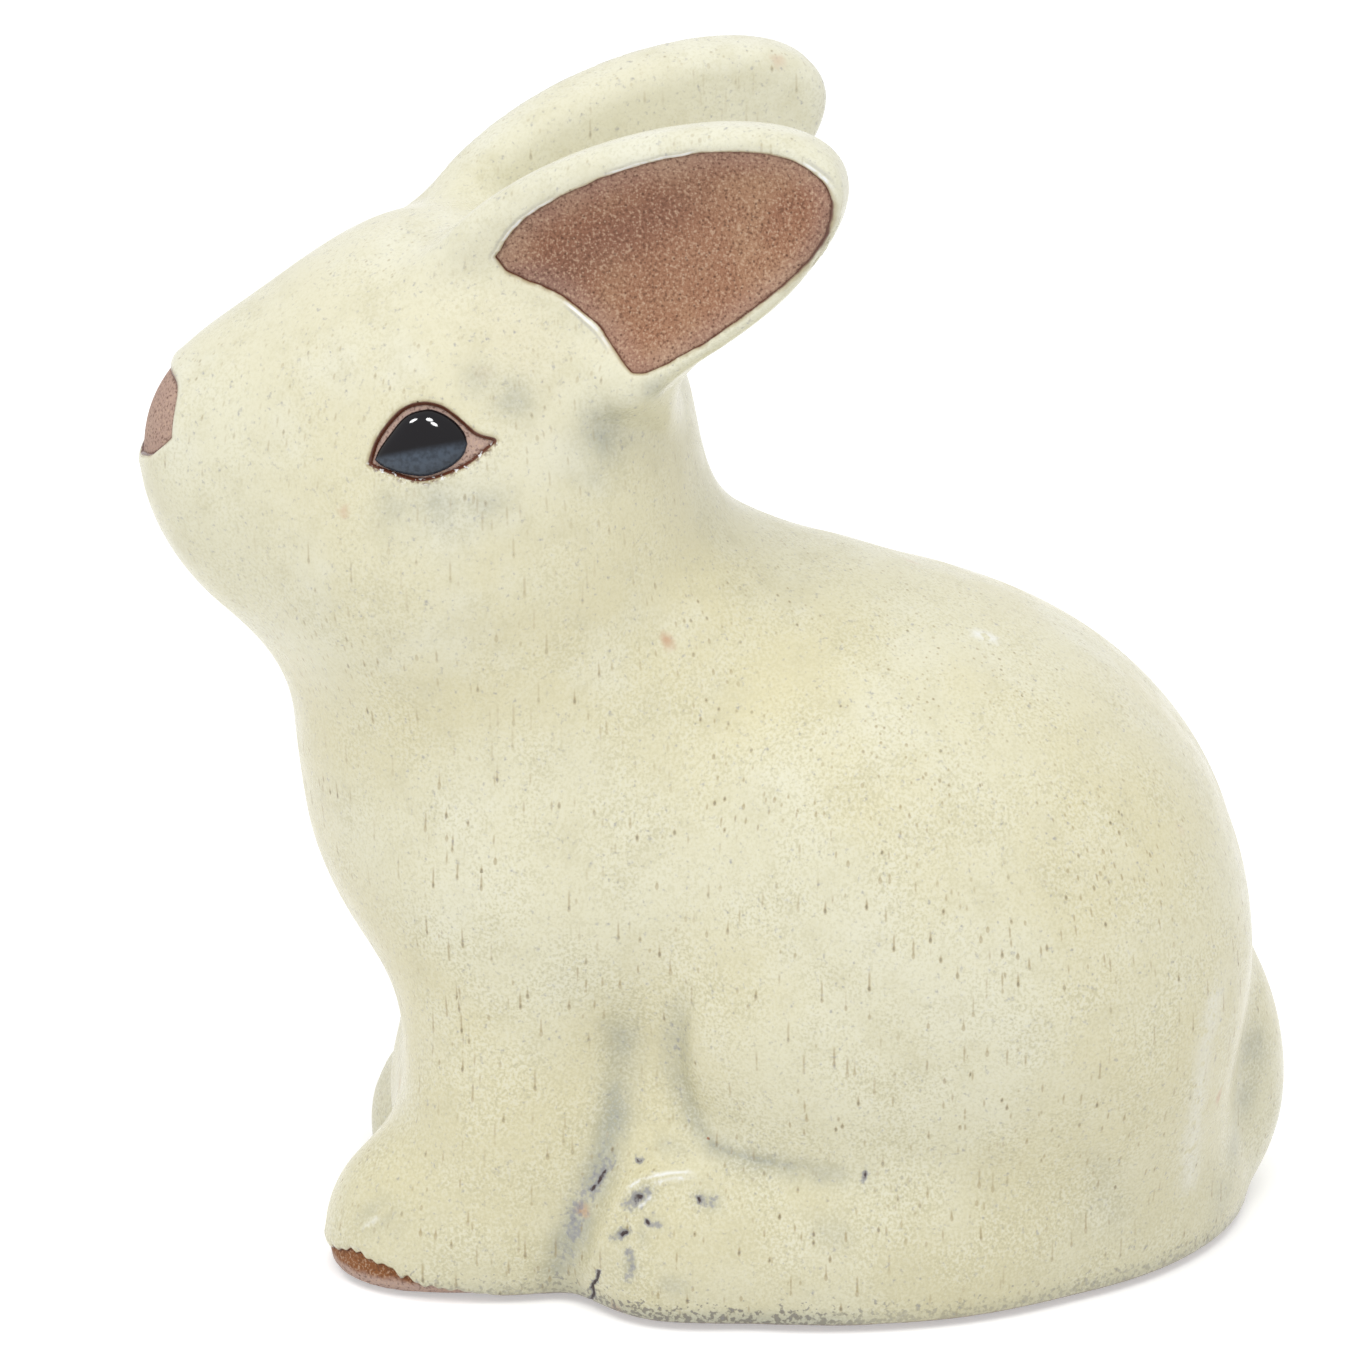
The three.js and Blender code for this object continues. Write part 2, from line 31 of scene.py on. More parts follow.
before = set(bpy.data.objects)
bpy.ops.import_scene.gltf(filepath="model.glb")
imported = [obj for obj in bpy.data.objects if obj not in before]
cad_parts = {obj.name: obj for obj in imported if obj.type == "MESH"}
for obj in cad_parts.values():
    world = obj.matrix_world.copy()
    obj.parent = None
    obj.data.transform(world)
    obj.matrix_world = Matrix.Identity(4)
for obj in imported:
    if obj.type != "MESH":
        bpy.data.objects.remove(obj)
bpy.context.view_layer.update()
print("frame: loaded", len(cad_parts), "nodes")

millimetre = 0.001

# From the chest's middle to the middle of the frame.
figureShift = Vector((0, -14.327, 0))
toFrame = Matrix.Scale(millimetre, 4) @ Matrix.Translation(figureShift)


# Camera: the photograph is taken from the rabbit's left, a little from above.
cameraSizes = {"azimuth": 87, "elevation": 20, "distance": 0.6, "target": (0, -0.0007, 0.05),
               "pixelsPerMillimetre": 11.4, "middle": (716, 676), "picture": 1366,
               "sensorWidth": 36, "clipStart": 0.01}


def addObject(name, data):
    made = bpy.data.objects.new(name, data)
    bpy.context.scene.collection.objects.link(made)
    return made


def makeCamera(sizes):
    azimuth, elevation = math.radians(sizes["azimuth"]), math.radians(sizes["elevation"])
    back = Vector((math.sin(azimuth) * math.cos(elevation), -math.cos(azimuth) * math.cos(elevation),
                   math.sin(elevation)))
    data = bpy.data.cameras.new("camera")
    camera = addObject("camera", data)
    camera.location = Vector(sizes["target"]) + back * sizes["distance"]
    camera.rotation_euler = back.to_track_quat("Z", "Y").to_euler()
    focal = sizes["pixelsPerMillimetre"] * sizes["distance"] / millimetre
    data.sensor_width = sizes["sensorWidth"]
    data.lens = focal / sizes["picture"] * data.sensor_width
    data.shift_x = (sizes["picture"] / 2 - sizes["middle"][0]) / sizes["picture"]
    data.shift_y = (sizes["middle"][1] - sizes["picture"] / 2) / sizes["picture"]
    data.clip_start = sizes["clipStart"]
    bpy.context.scene.camera = camera


makeCamera(cameraSizes)
print("camera: made")


# Swelling forms: centre, half sizes along X, Y and Z, the pitch in degrees that lifts the rear
# end and the yaw that swings it inwards. Forms in pairs are given for the left side.
forms = {
    "torso": {"centre": (0, 24.4, 34.3), "radii": (26.5, 35, 26), "pitch": -15},
    "rump": {"centre": (0, 34.7, 23.2), "radii": (27.5, 24.2, 28.5)},
    "seat": {"centre": (0, 29.1, 5), "radii": (27.5, 33, 19.7)},
    "belly": {"centre": (0, 14.5, 11.3), "radii": (23.5, 30, 24)},
    "chest": {"centre": (0, -0.2, 42), "radii": (20.5, 22.4, 24.2), "pitch": 18},
    "neck": {"centre": (0, -3.2, 56.3), "radii": (19, 20, 18), "pitch": -11},
    "nape": {"centre": (0, 12, 54.8), "radii": (13.5, 14.6, 7)},
    "skull": {"centre": (0, -6.9, 74.5), "radii": (19, 19.7, 17.3), "pitch": -37},
    "muzzle": {"centre": (0, -19.7, 67.7), "radii": (12.3, 18, 13.7), "pitch": -38},
    "tail": {"centre": (0, 57.1, 15), "radii": (9, 7.2, 14), "pitch": 12},
    "cheek": {"centre": (9, -8.4, 66), "radii": (11.5, 15, 13), "pair": True},
    "haunch": {"centre": (15.4, 31.1, 26.5), "radii": (13.8, 24.5, 21.5), "pitch": -10, "yaw": 9,
               "pair": True},
    "foot": {"centre": (20.3, 22.6, 5.5), "radii": (9.6, 20, 11), "pair": True},
    "toes": {"centre": (19.6, 9.1, 5), "radii": (8.6, 8.5, 9.3), "pair": True},
    "paw": {"centre": (12.5, -12.3, 2.9), "radii": (8.6, 9.2, 10), "pair": True},
}
frontLeg = {"shoulder": (10, -3.1, 35), "ankle": (12.5, -4.5, 6), "shoulderRadius": 10.2,
            "ankleRadius": 10.4, "rightPawSetBack": 4.2, "rightAnkleSetBack": 5.4}

# How widely the forms run into each other. The haunch's blend widens upwards and to the rear.
blends = {"torso": 6, "neck": 7, "muzzle": 9, "leg": 4, "shoulder": 9, "haunchFront": 1.6,
          "haunchBack": 13.6, "haunchFade": (-9, 11), "haunchSlant": 0.7, "foot": 4, "tail": 2,
          "ear": 2.6, "base": 1.5}

# Ears: a leaf from root to tip that faces outwards and is cupped along its edges. The web widens
# its blend with the neck under the lower edge, behind the eye. The bare face is outlined along
# and across the leaf, and ends where the leaf turns over its rim.
ear = {
    "root": (7.5, -12.5, 82.4), "tip": (15.5, 23.3, 100.4), "facing": (1, -0.25, 0.1),
    "halfWidth": 10.1, "halfThickness": 3.1, "cup": 1.3, "rimRounding": 2.4, "taper": 0.08,
    "dish": 0.7, "dishSlope": (1.2, 6), "web": 7, "webAcross": (3, 8), "webAlong": (-8, -2),
    "face": [(-9.3, 4.8), (-5.9, 6.6), (-1.5, 7.3), (3.6, 7.25), (8, 6.6), (11.8, 5.6), (15.6, 3.8),
             (17.8, 2.1), (19.1, 0), (19.3, -1.9), (18.7, -3.3), (17.2, -4.9), (15.4, -6),
             (13.4, -6.7), (11, -7.3), (7.8, -7.95), (4.2, -8.65), (1.7, -8.8), (-0.8, -8.85),
             (-2.1, -8.3)],
    "faceRoot": [(-2.1, -8.3), (-3, -6), (-3.7, -4), (-4.6, -2.2), (-5.5, -0.45), (-6.8, 1.05),
                 (-8.1, 2.4), (-9.1, 3.6), (-9.3, 4.8)],
    "faceNear": (24, 12, -1), "rimLevel": 1.2, "rimSlope": 3, "faceWave": 0.06, "faceWaveSize": 3,
}


def smoothMin(a, b, blend):
    share = np.clip(0.5 + 0.5 * (b - a) / blend, 0, 1)
    return b + (a - b) * share - blend * share * (1 - share)


def smoothMax(a, b, blend):
    return -smoothMin(-a, -b, blend)


def smoothStep(value, low, high):
    share = np.clip((value - low) / (high - low), 0, 1)
    return share * share * (3 - 2 * share)


# Distance to an ellipse or ellipsoid, from pairs of a coordinate and the half size along it.
def ovalDistance(*pairs):
    unit = np.sqrt(sum((x / r) ** 2 for x, r in pairs))
    slope = np.sqrt(sum((x / r ** 2) ** 2 for x, r in pairs))
    return unit * (unit - 1) / np.maximum(slope, 1e-6)


# A soft hill that is 1 at nought and next to nothing at twice the width.
def bell(value, width):
    return np.exp(-(value / width) ** 2)


def eggDistance(p, form):
    q = p - np.array(form["centre"], float)
    x, y, z = q[:, 0], q[:, 1], q[:, 2]
    yaw, pitch = math.radians(form.get("yaw", 0)), math.radians(form.get("pitch", 0))
    x, y = x * math.cos(yaw) + y * math.sin(yaw), y * math.cos(yaw) - x * math.sin(yaw)
    y, z = y * math.cos(pitch) + z * math.sin(pitch), z * math.cos(pitch) - y * math.sin(pitch)
    return ovalDistance(*zip((x, y, z), form["radii"]))


def legDistance(p):
    start, end = np.array(frontLeg["shoulder"], float), np.array(frontLeg["ankle"], float)
    span = end - start
    share = np.clip((p - start) @ span / (span @ span), 0, 1)
    radius = frontLeg["shoulderRadius"] + (frontLeg["ankleRadius"] - frontLeg["shoulderRadius"]) * share
    return np.linalg.norm(p - start - share[:, None] * span, axis=1) - radius


# A direction turned square to another one and made 1 long.
def squared(direction, other):
    across = direction - direction @ other * other
    return across / np.linalg.norm(across)


# The left ear's own frame: U from root to tip, W outwards and V upwards across the leaf.
earStart = np.array(ear["root"], float)
earSpan = np.array(ear["tip"], float) - earStart
earHalfLength = np.linalg.norm(earSpan) / 2
earU = earSpan / np.linalg.norm(earSpan)
earW = squared(np.array(ear["facing"], float), earU)
earV = np.cross(earW, earU)
earMiddle = earStart + earU * earHalfLength


def earPlace(p):
    q = p - earMiddle
    return q @ earU, q @ earV, q @ earW


def earDistance(p):
    s, t, h = earPlace(p)
    bend = ear["cup"] * (t / ear["halfWidth"]) ** 2
    width = ear["halfWidth"] * (1 - ear["taper"] * s / earHalfLength)
    outline = ovalDistance((s, earHalfLength), (t, width))
    dish = ear["dish"] * smoothStep(-outline, *ear["dishSlope"]) * (h > 0)
    plate = np.abs(h - bend) - ear["halfThickness"] + dish
    return smoothMax(outline, plate, ear["rimRounding"])


# Points with those of the right side moved over to the left one.
def mirrored(p):
    mirror = p.copy()
    mirror[:, 0] = np.abs(mirror[:, 0])
    return mirror


def bodyDistance(p):
    mirror = mirrored(p)
    y, z = p[:, 1], p[:, 2]
    d = eggDistance(p, forms["torso"])
    for name, blend in (("rump", "torso"), ("belly", "torso"), ("chest", "neck"), ("neck", "neck"),
                        ("nape", "neck")):
        d = smoothMin(d, eggDistance(p, forms[name]), blends[blend])
    head = smoothMin(eggDistance(p, forms["skull"]), eggDistance(p, forms["muzzle"]), blends["muzzle"])
    d = smoothMin(d, head, blends["torso"])
    d = smoothMin(d, eggDistance(p, forms["seat"]), blends["torso"])
    d = smoothMin(d, eggDistance(mirror, forms["cheek"]), blends["torso"])
    haunch = forms["haunch"]["centre"]
    rise = smoothStep(blends["haunchSlant"] * (y - haunch[1] + z - haunch[2]), *blends["haunchFade"])
    haunchBlend = blends["haunchFront"] + (blends["haunchBack"] - blends["haunchFront"]) * rise
    d = smoothMin(d, eggDistance(mirror, forms["haunch"]), haunchBlend)
    shoulder, ankle = frontLeg["shoulder"][2], frontLeg["ankle"][2]
    lowness = np.clip((shoulder - z) / (shoulder - ankle), 0, 1)
    legPlace, pawPlace = mirror.copy(), mirror.copy()
    legPlace[:, 1] -= np.where(p[:, 0] < 0, frontLeg["rightAnkleSetBack"], 0) * lowness
    pawPlace[:, 1] -= np.where(p[:, 0] < 0, frontLeg["rightPawSetBack"], 0)
    upLeg = smoothStep(z, shoulder / 2, shoulder)
    legBlend = blends["leg"] + (blends["shoulder"] - blends["leg"]) * upLeg
    d = smoothMin(d, legDistance(legPlace), legBlend)
    d = smoothMin(d, eggDistance(pawPlace, forms["paw"]), blends["leg"])
    foot = smoothMin(eggDistance(mirror, forms["foot"]), eggDistance(mirror, forms["toes"]), blends["leg"])
    d = smoothMin(d, foot, blends["foot"])
    return smoothMin(d, eggDistance(p, forms["tail"]), blends["tail"])


def figureDistance(p):
    mirror = mirrored(p)
    along, across, _ = earPlace(mirror)
    web = ear["web"] * smoothStep(-across, *ear["webAcross"]) * smoothStep(along, *ear["webAlong"])
    d = smoothMin(bodyDistance(p), earDistance(mirror), blends["ear"] + web)
    return smoothMax(d, -p[:, 2], blends["base"])


def slopeOf(field, p, step=0.05):
    shifts = np.eye(3) * step
    return np.stack([(field(p + shift) - field(p - shift)) / (2 * step) for shift in shifts], axis=1)


# Newton steps that bring points onto the surface where the distance is nought.
def settle(p, rounds, reach=1.5, leastSlope=0.05):
    for _ in range(rounds):
        distance, slope = figureDistance(p), slopeOf(figureDistance, p)
        move = np.clip(distance / np.maximum((slope * slope).sum(1), leastSlope), -reach, reach)
        p = p - slope * move[:, None]
    return p


def pointsOf(mesh):
    flat = np.zeros(len(mesh.vertices) * 3)
    mesh.vertices.foreach_get("co", flat)
    return flat.reshape(-1, 3)


def placePoints(mesh, p):
    mesh.vertices.foreach_set("co", p.ravel())
    mesh.update()


def edgesOf(mesh):
    flat = np.zeros(len(mesh.edges) * 2, dtype=np.int64)
    mesh.edges.foreach_get("vertices", flat)
    return flat.reshape(-1, 2)


def neighbourMean(values, edges):
    count = np.bincount(edges.ravel(), minlength=len(values)).astype(float)
    out = np.zeros_like(values)
    for k in range(values.shape[1]):
        out[:, k] = np.bincount(edges[:, 0], values[edges[:, 1], k], len(values))
        out[:, k] += np.bincount(edges[:, 1], values[edges[:, 0], k], len(values))
    return out / np.maximum(count, 1)[:, None]


# Evens out the spacing of the points without moving them off the surface.
def relax(p, edges, rounds, pull=0.6):
    normal = unitNormals(p)
    for _ in range(rounds):
        shift = (neighbourMean(p, edges) - p) * pull
        shift -= (shift * normal).sum(1)[:, None] * normal
        p = p + shift
    return p


def unitNormals(p):
    slope = slopeOf(figureDistance, p)
    return slope / np.maximum(np.linalg.norm(slope, axis=1), 1e-9)[:, None]


# How finely the lump's balls are cut, where they lie along a leg, and how far one fills an ear.
lumpSizes = {"ballCuts": 4, "legShares": (0, 0.25, 0.5, 0.75, 1), "earFill": (0.98, 0.98, 1.1)}


def addBall(bm, place):
    made = bmesh.ops.create_icosphere(bm, subdivisions=lumpSizes["ballCuts"], radius=1)
    bmesh.ops.transform(bm, matrix=place, verts=made["verts"])


# The raw lump: one ball for each form, joined by the remesh that follows.
def rawLump():
    bm = bmesh.new()
    for form in forms.values():
        for side in ((1, -1) if form.get("pair") else (1,)):
            x, y, z = form["centre"]
            turn = Matrix.Rotation(math.radians(form.get("yaw", 0)) * side, 4, "Z")
            turn = turn @ Matrix.Rotation(math.radians(form.get("pitch", 0)), 4, "X")
            addBall(bm, Matrix.Translation((x * side, y, z)) @ turn @ Matrix.Diagonal((*form["radii"], 1)))
    for side in (1, -1):
        start, end = Vector(frontLeg["shoulder"]), Vector(frontLeg["ankle"])
        for share in lumpSizes["legShares"]:
            middle = start.lerp(end, share)
            middle.x *= side
            addBall(bm, Matrix.Translation(middle) @ Matrix.Scale(frontLeg["ankleRadius"], 4))
        axes = Matrix((earU, earV, earW)).transposed().to_4x4()
        leaf = (earHalfLength, ear["halfWidth"], ear["halfThickness"])
        size = Matrix.Diagonal((*[half * fill for half, fill in zip(leaf, lumpSizes["earFill"])], 1))
        mirror = Matrix.Diagonal((side, 1, 1, 1))
        addBall(bm, mirror @ Matrix.Translation(Vector(earMiddle)) @ axes @ size)
    bmesh.ops.recalc_face_normals(bm, faces=bm.faces)
    mesh = bpy.data.meshes.new("lump")
    bm.to_mesh(mesh)
    bm.free()
    return mesh


def remeshed(mesh, voxel):
    holder = addObject("draft", mesh)
    modifier = holder.modifiers.new("remesh", "REMESH")
    modifier.mode = "VOXEL"
    modifier.voxel_size = voxel
    result = bpy.data.meshes.new_from_object(holder.evaluated_get(bpy.context.evaluated_depsgraph_get()))
    bpy.data.objects.remove(holder)
    bpy.data.meshes.remove(mesh)
    return result


# Splits the edges that lie wholly among the marked points.
def refined(mesh, marked):
    bm = bmesh.new()
    bm.from_mesh(mesh)
    bm.verts.ensure_lookup_table()
    chosen = [e for e in bm.edges if marked[e.verts[0].index] and marked[e.verts[1].index]]
    bmesh.ops.subdivide_edges(bm, edges=chosen, cuts=1, use_grid_fill=True)
    bm.to_mesh(mesh)
    bm.free()
    return mesh


skinSizes = {"coarse": 1.3, "fine": 0.72}

skin = remeshed(rawLump(), skinSizes["coarse"])
placePoints(skin, settle(pointsOf(skin), rounds=6))
skin = remeshed(skin, skinSizes["fine"])
points = settle(pointsOf(skin), rounds=3)
points = settle(relax(points, edgesOf(skin), rounds=6), rounds=2, reach=0.6)
placePoints(skin, points)
print("skin: shaped,", len(skin.vertices), "points")


# Openings in the glaze. Each is given by its outline, and a distance to it that is below
# nought where the clay is bare. The distance is only worked out near the opening.
eyeSizes = {
    "forward": 4.35, "rise": 2.95, "tilt": 9.4, "near": (9, 8, 5),
    "upper": [(-5.4, -0.2), (-4.25, 1.72), (-2.05, 3.52), (-0.3, 3.87), (1.35, 3.34), (2.75, 1.96),
              (3.85, 0.6), (5.3, -0.15)],
    "lower": [(5.3, -0.15), (3.6, -1.15), (2.1, -1.8), (-0.3, -2.25), (-1.9, -2.05), (-4.1, -0.95),
              (-5.4, -0.2)],
    "dropUpper": [(-4.85, 0.05), (-4.35, 0.8), (-3.3, 1.8), (-1.7, 3.05), (0, 3.3), (1.1, 2.9),
                  (2.15, 2), (2.8, 0.9), (2.9, 0)],
    "dropLower": [(2.9, 0), (2.4, -0.85), (1.3, -1.55), (-0.1, -1.9), (-1.3, -1.9), (-2.9, -1.35),
                  (-4.3, -0.55), (-4.85, 0.05)],
    "dropMiddle": (-0.95, 0.6), "dropSpread": 1.06, "dropRise": 0.95, "dropDepth": 0.42,
    # "sheenLevel" and "sheenFade" place a painted reflection on the drop's lower part.
    "dropBack": 0.7, "sheenLevel": 0.45, "sheenFade": 0.8, "rings": 14,
}
noseSizes = {
    "middle": 75.4, "front": -27.5, "near": (10, 9),
    "side": [(0, 3.9), (1.6, 3.8), (2.8, 3.65), (3.8, 3.3), (4.6, 2.6), (5.3, 1.4), (5.8, 0.2),
             (6.1, -0.6)],
    "under": [(6.1, -0.6), (5.2, -1.8), (3.8, -2.8), (0, -3.8)],
}

# The base's bare line, and how far it rises round the left front toe, by the turn in degrees.
baseSizes = {
    "line": 0.38, "wave": 0.08, "waveSize": 14,
    "toeMiddle": (12.5, -12.3), "toeReach": 14, "toeBack": 6, "ragged": 0.35,
    "raggedSize": 1.3, "raggedTurn": 14, "raggedRun": 0.3,
    "toe": ((-35, 0), (0, 1.9), (20, 2.5), (40, 3.3), (52, 3.1), (64, 2.8), (73, 1.9), (81, 1.5),
            (95, 0.8), (110, 0.5), (125, 0)),
}

# The coat lies on the clay and ends in a rounded lip. "end" is the bare distance at which it
# ends, under the clay's surface. Points are drawn onto it and onto "lipLines", so that the lip
# runs smoothly.
coatSizes = {"thickness": 0.45, "lipWidth": 0.8, "lipRounding": 2.4, "lipBulge": 0.1,
             "bulgeMiddle": 0.75, "bulgeWidth": 0.5, "endSlope": 2.5, "end": -0.25,
             "slack": 0.001, "lipLines": (0.04, 0.35), "clayDepth": 0.42, "clearance": 0.15}


# A smooth line through the points given.
def smoothLine(places, steps):
    p = np.array(places, float)
    q = np.concatenate([2 * p[:1] - p[1:2], p, 2 * p[-1:] - p[-2:-1]])
    t = np.arange(steps)[:, None] / steps
    parts = [b + ((c - a) * t + (2 * a - 5 * b + 4 * c - d) * t ** 2 + (3 * b - a - 3 * c + d) * t ** 3) / 2
             for a, b, c, d in zip(q, q[1:], q[2:], q[3:])]
    return np.concatenate(parts)


# A closed outline of smooth lines that meet in corners.
def outlineOf(*lines, steps=6):
    return np.concatenate([smoothLine(line, steps) for line in lines])


# Distance in a plane to a closed outline, below nought inside it.
def outlineDistance(a, b, outline):
    q = np.stack([a, b], axis=1)
    best = np.full(len(q), 1e9)
    inside = np.zeros(len(q), bool)
    for start, end in zip(outline, np.roll(outline, -1, axis=0)):
        span = end - start
        share = np.clip((q - start) @ span / max(span @ span, 1e-12), 0, 1)
        best = np.minimum(best, np.linalg.norm(q - start - share[:, None] * span, axis=1))
        crossing = (start[1] > b) != (end[1] > b)
        with np.errstate(divide="ignore", invalid="ignore"):
            inside ^= crossing & (a < span[0] * (b - start[1]) / span[1] + start[0])
    return np.where(inside, -best, best)


# Distance to an opening's outline, worked out only for the points near it.
def nearDistance(a, b, near, outline, farAway=9.0):
    distance = np.full(len(a), farAway)
    distance[near] = outlineDistance(a[near], b[near], outline)
    return distance


# The eye's own frame on the left of the head: middle, along to the rear, up and outwards.
def eyePlace(startX=10.0, rounds=20, pull=0.8):
    _, y, z = forms["skull"]["centre"]
    x, y, z = startX, y - eyeSizes["forward"], z + eyeSizes["rise"]
    for _ in range(rounds):
        x -= figureDistance(np.array([[x, y, z]]))[0] * pull
    middle = np.array([x, y, z])
    out = unitNormals(middle[None])[0]
    tilt = math.radians(eyeSizes["tilt"])
    along = squared(np.array([0, math.cos(tilt), math.sin(tilt)]), out)
    return middle, along, np.cross(out, along), out


eyeMiddle, eyeAlong, eyeUp, eyeOut = eyePlace()


def eyeCoordinates(p, side):
    q = p * (side, 1, 1) - eyeMiddle
    return q @ eyeAlong, q @ eyeUp, q @ eyeOut


def eyeOpening(p, side):
    a, b, out = eyeCoordinates(p, side)
    outline = outlineOf(eyeSizes["upper"], eyeSizes["lower"])
    reachA, reachB, reachOut = eyeSizes["near"]
    near = (np.abs(a) < reachA) & (np.abs(b) < reachB) & (np.abs(out) < reachOut)
    return nearDistance(a, b, near, outline)


def noseOpening(p):
    half = np.concatenate([outlineOf(noseSizes["side"], noseSizes["under"]), noseSizes["under"][-1:]])
    half = half + (0, noseSizes["middle"])
    outline = np.concatenate([half, (half * (-1, 1))[::-1][1:-1]])
    x, y, z = p.T
    reachX, reachZ = noseSizes["near"]
    near = (np.abs(x) < reachX) & (np.abs(z - noseSizes["middle"]) < reachZ) & (y < noseSizes["front"])
    return nearDistance(x, z, near, outline)


# A gentle, repeatable waver between -1 and 1.
def waver(a, b, size):
    a, b = a / size, b / size
    slow = np.sin(a * 6.1 + 2 * np.sin(b * 3.7))
    quick = np.sin(b * 5.3 + 1.7 * np.sin(a * 4.3 + 1))
    return (slow + quick + np.sin((a + b) * 9.7)) / 3


def earOpening(p, side):
    s, t, h = earPlace(p * (side, 1, 1))
    outline = outlineOf(ear["face"], ear["faceRoot"])
    reachS, reachT, lowest = ear["faceNear"]
    near = (np.abs(t) < reachT) & (np.abs(s) < reachS) & (h > lowest)
    overRim = np.where(near, ear["rimSlope"] * np.maximum(ear["rimLevel"] - h, 0), 0)
    return nearDistance(s, t, near, outline) + overRim + ear["faceWave"] * waver(s, t, ear["faceWaveSize"])


def baseOpening(p):
    x, y, z = p.T
    line = baseSizes["line"] + baseSizes["wave"] * waver(x, y, baseSizes["waveSize"])
    toeX, toeY = baseSizes["toeMiddle"]
    turn = np.degrees(np.arctan2(x - toeX, toeY - y))
    toe = np.interp(turn, *np.transpose(baseSizes["toe"]))
    nearToe = (np.hypot(x - toeX, y - toeY) < baseSizes["toeReach"]) & (y < toeY + baseSizes["toeBack"])
    ragged = waver(turn / baseSizes["raggedTurn"], y * baseSizes["raggedRun"], baseSizes["raggedSize"])
    ragged = baseSizes["ragged"] * ragged * np.minimum(toe, 1)
    return z - (line + np.where(nearToe, toe + ragged, 0))


openings = {
    "leftEar": lambda p: earOpening(p, 1),
    "rightEar": lambda p: earOpening(p, -1),
    "leftEye": lambda p: eyeOpening(p, 1),
    "rightEye": lambda p: eyeOpening(p, -1),
    "nose": noseOpening,
    "base": baseOpening,
}


def bareDistance(p):
    return np.min([opening(p) for opening in openings.values()], axis=0)
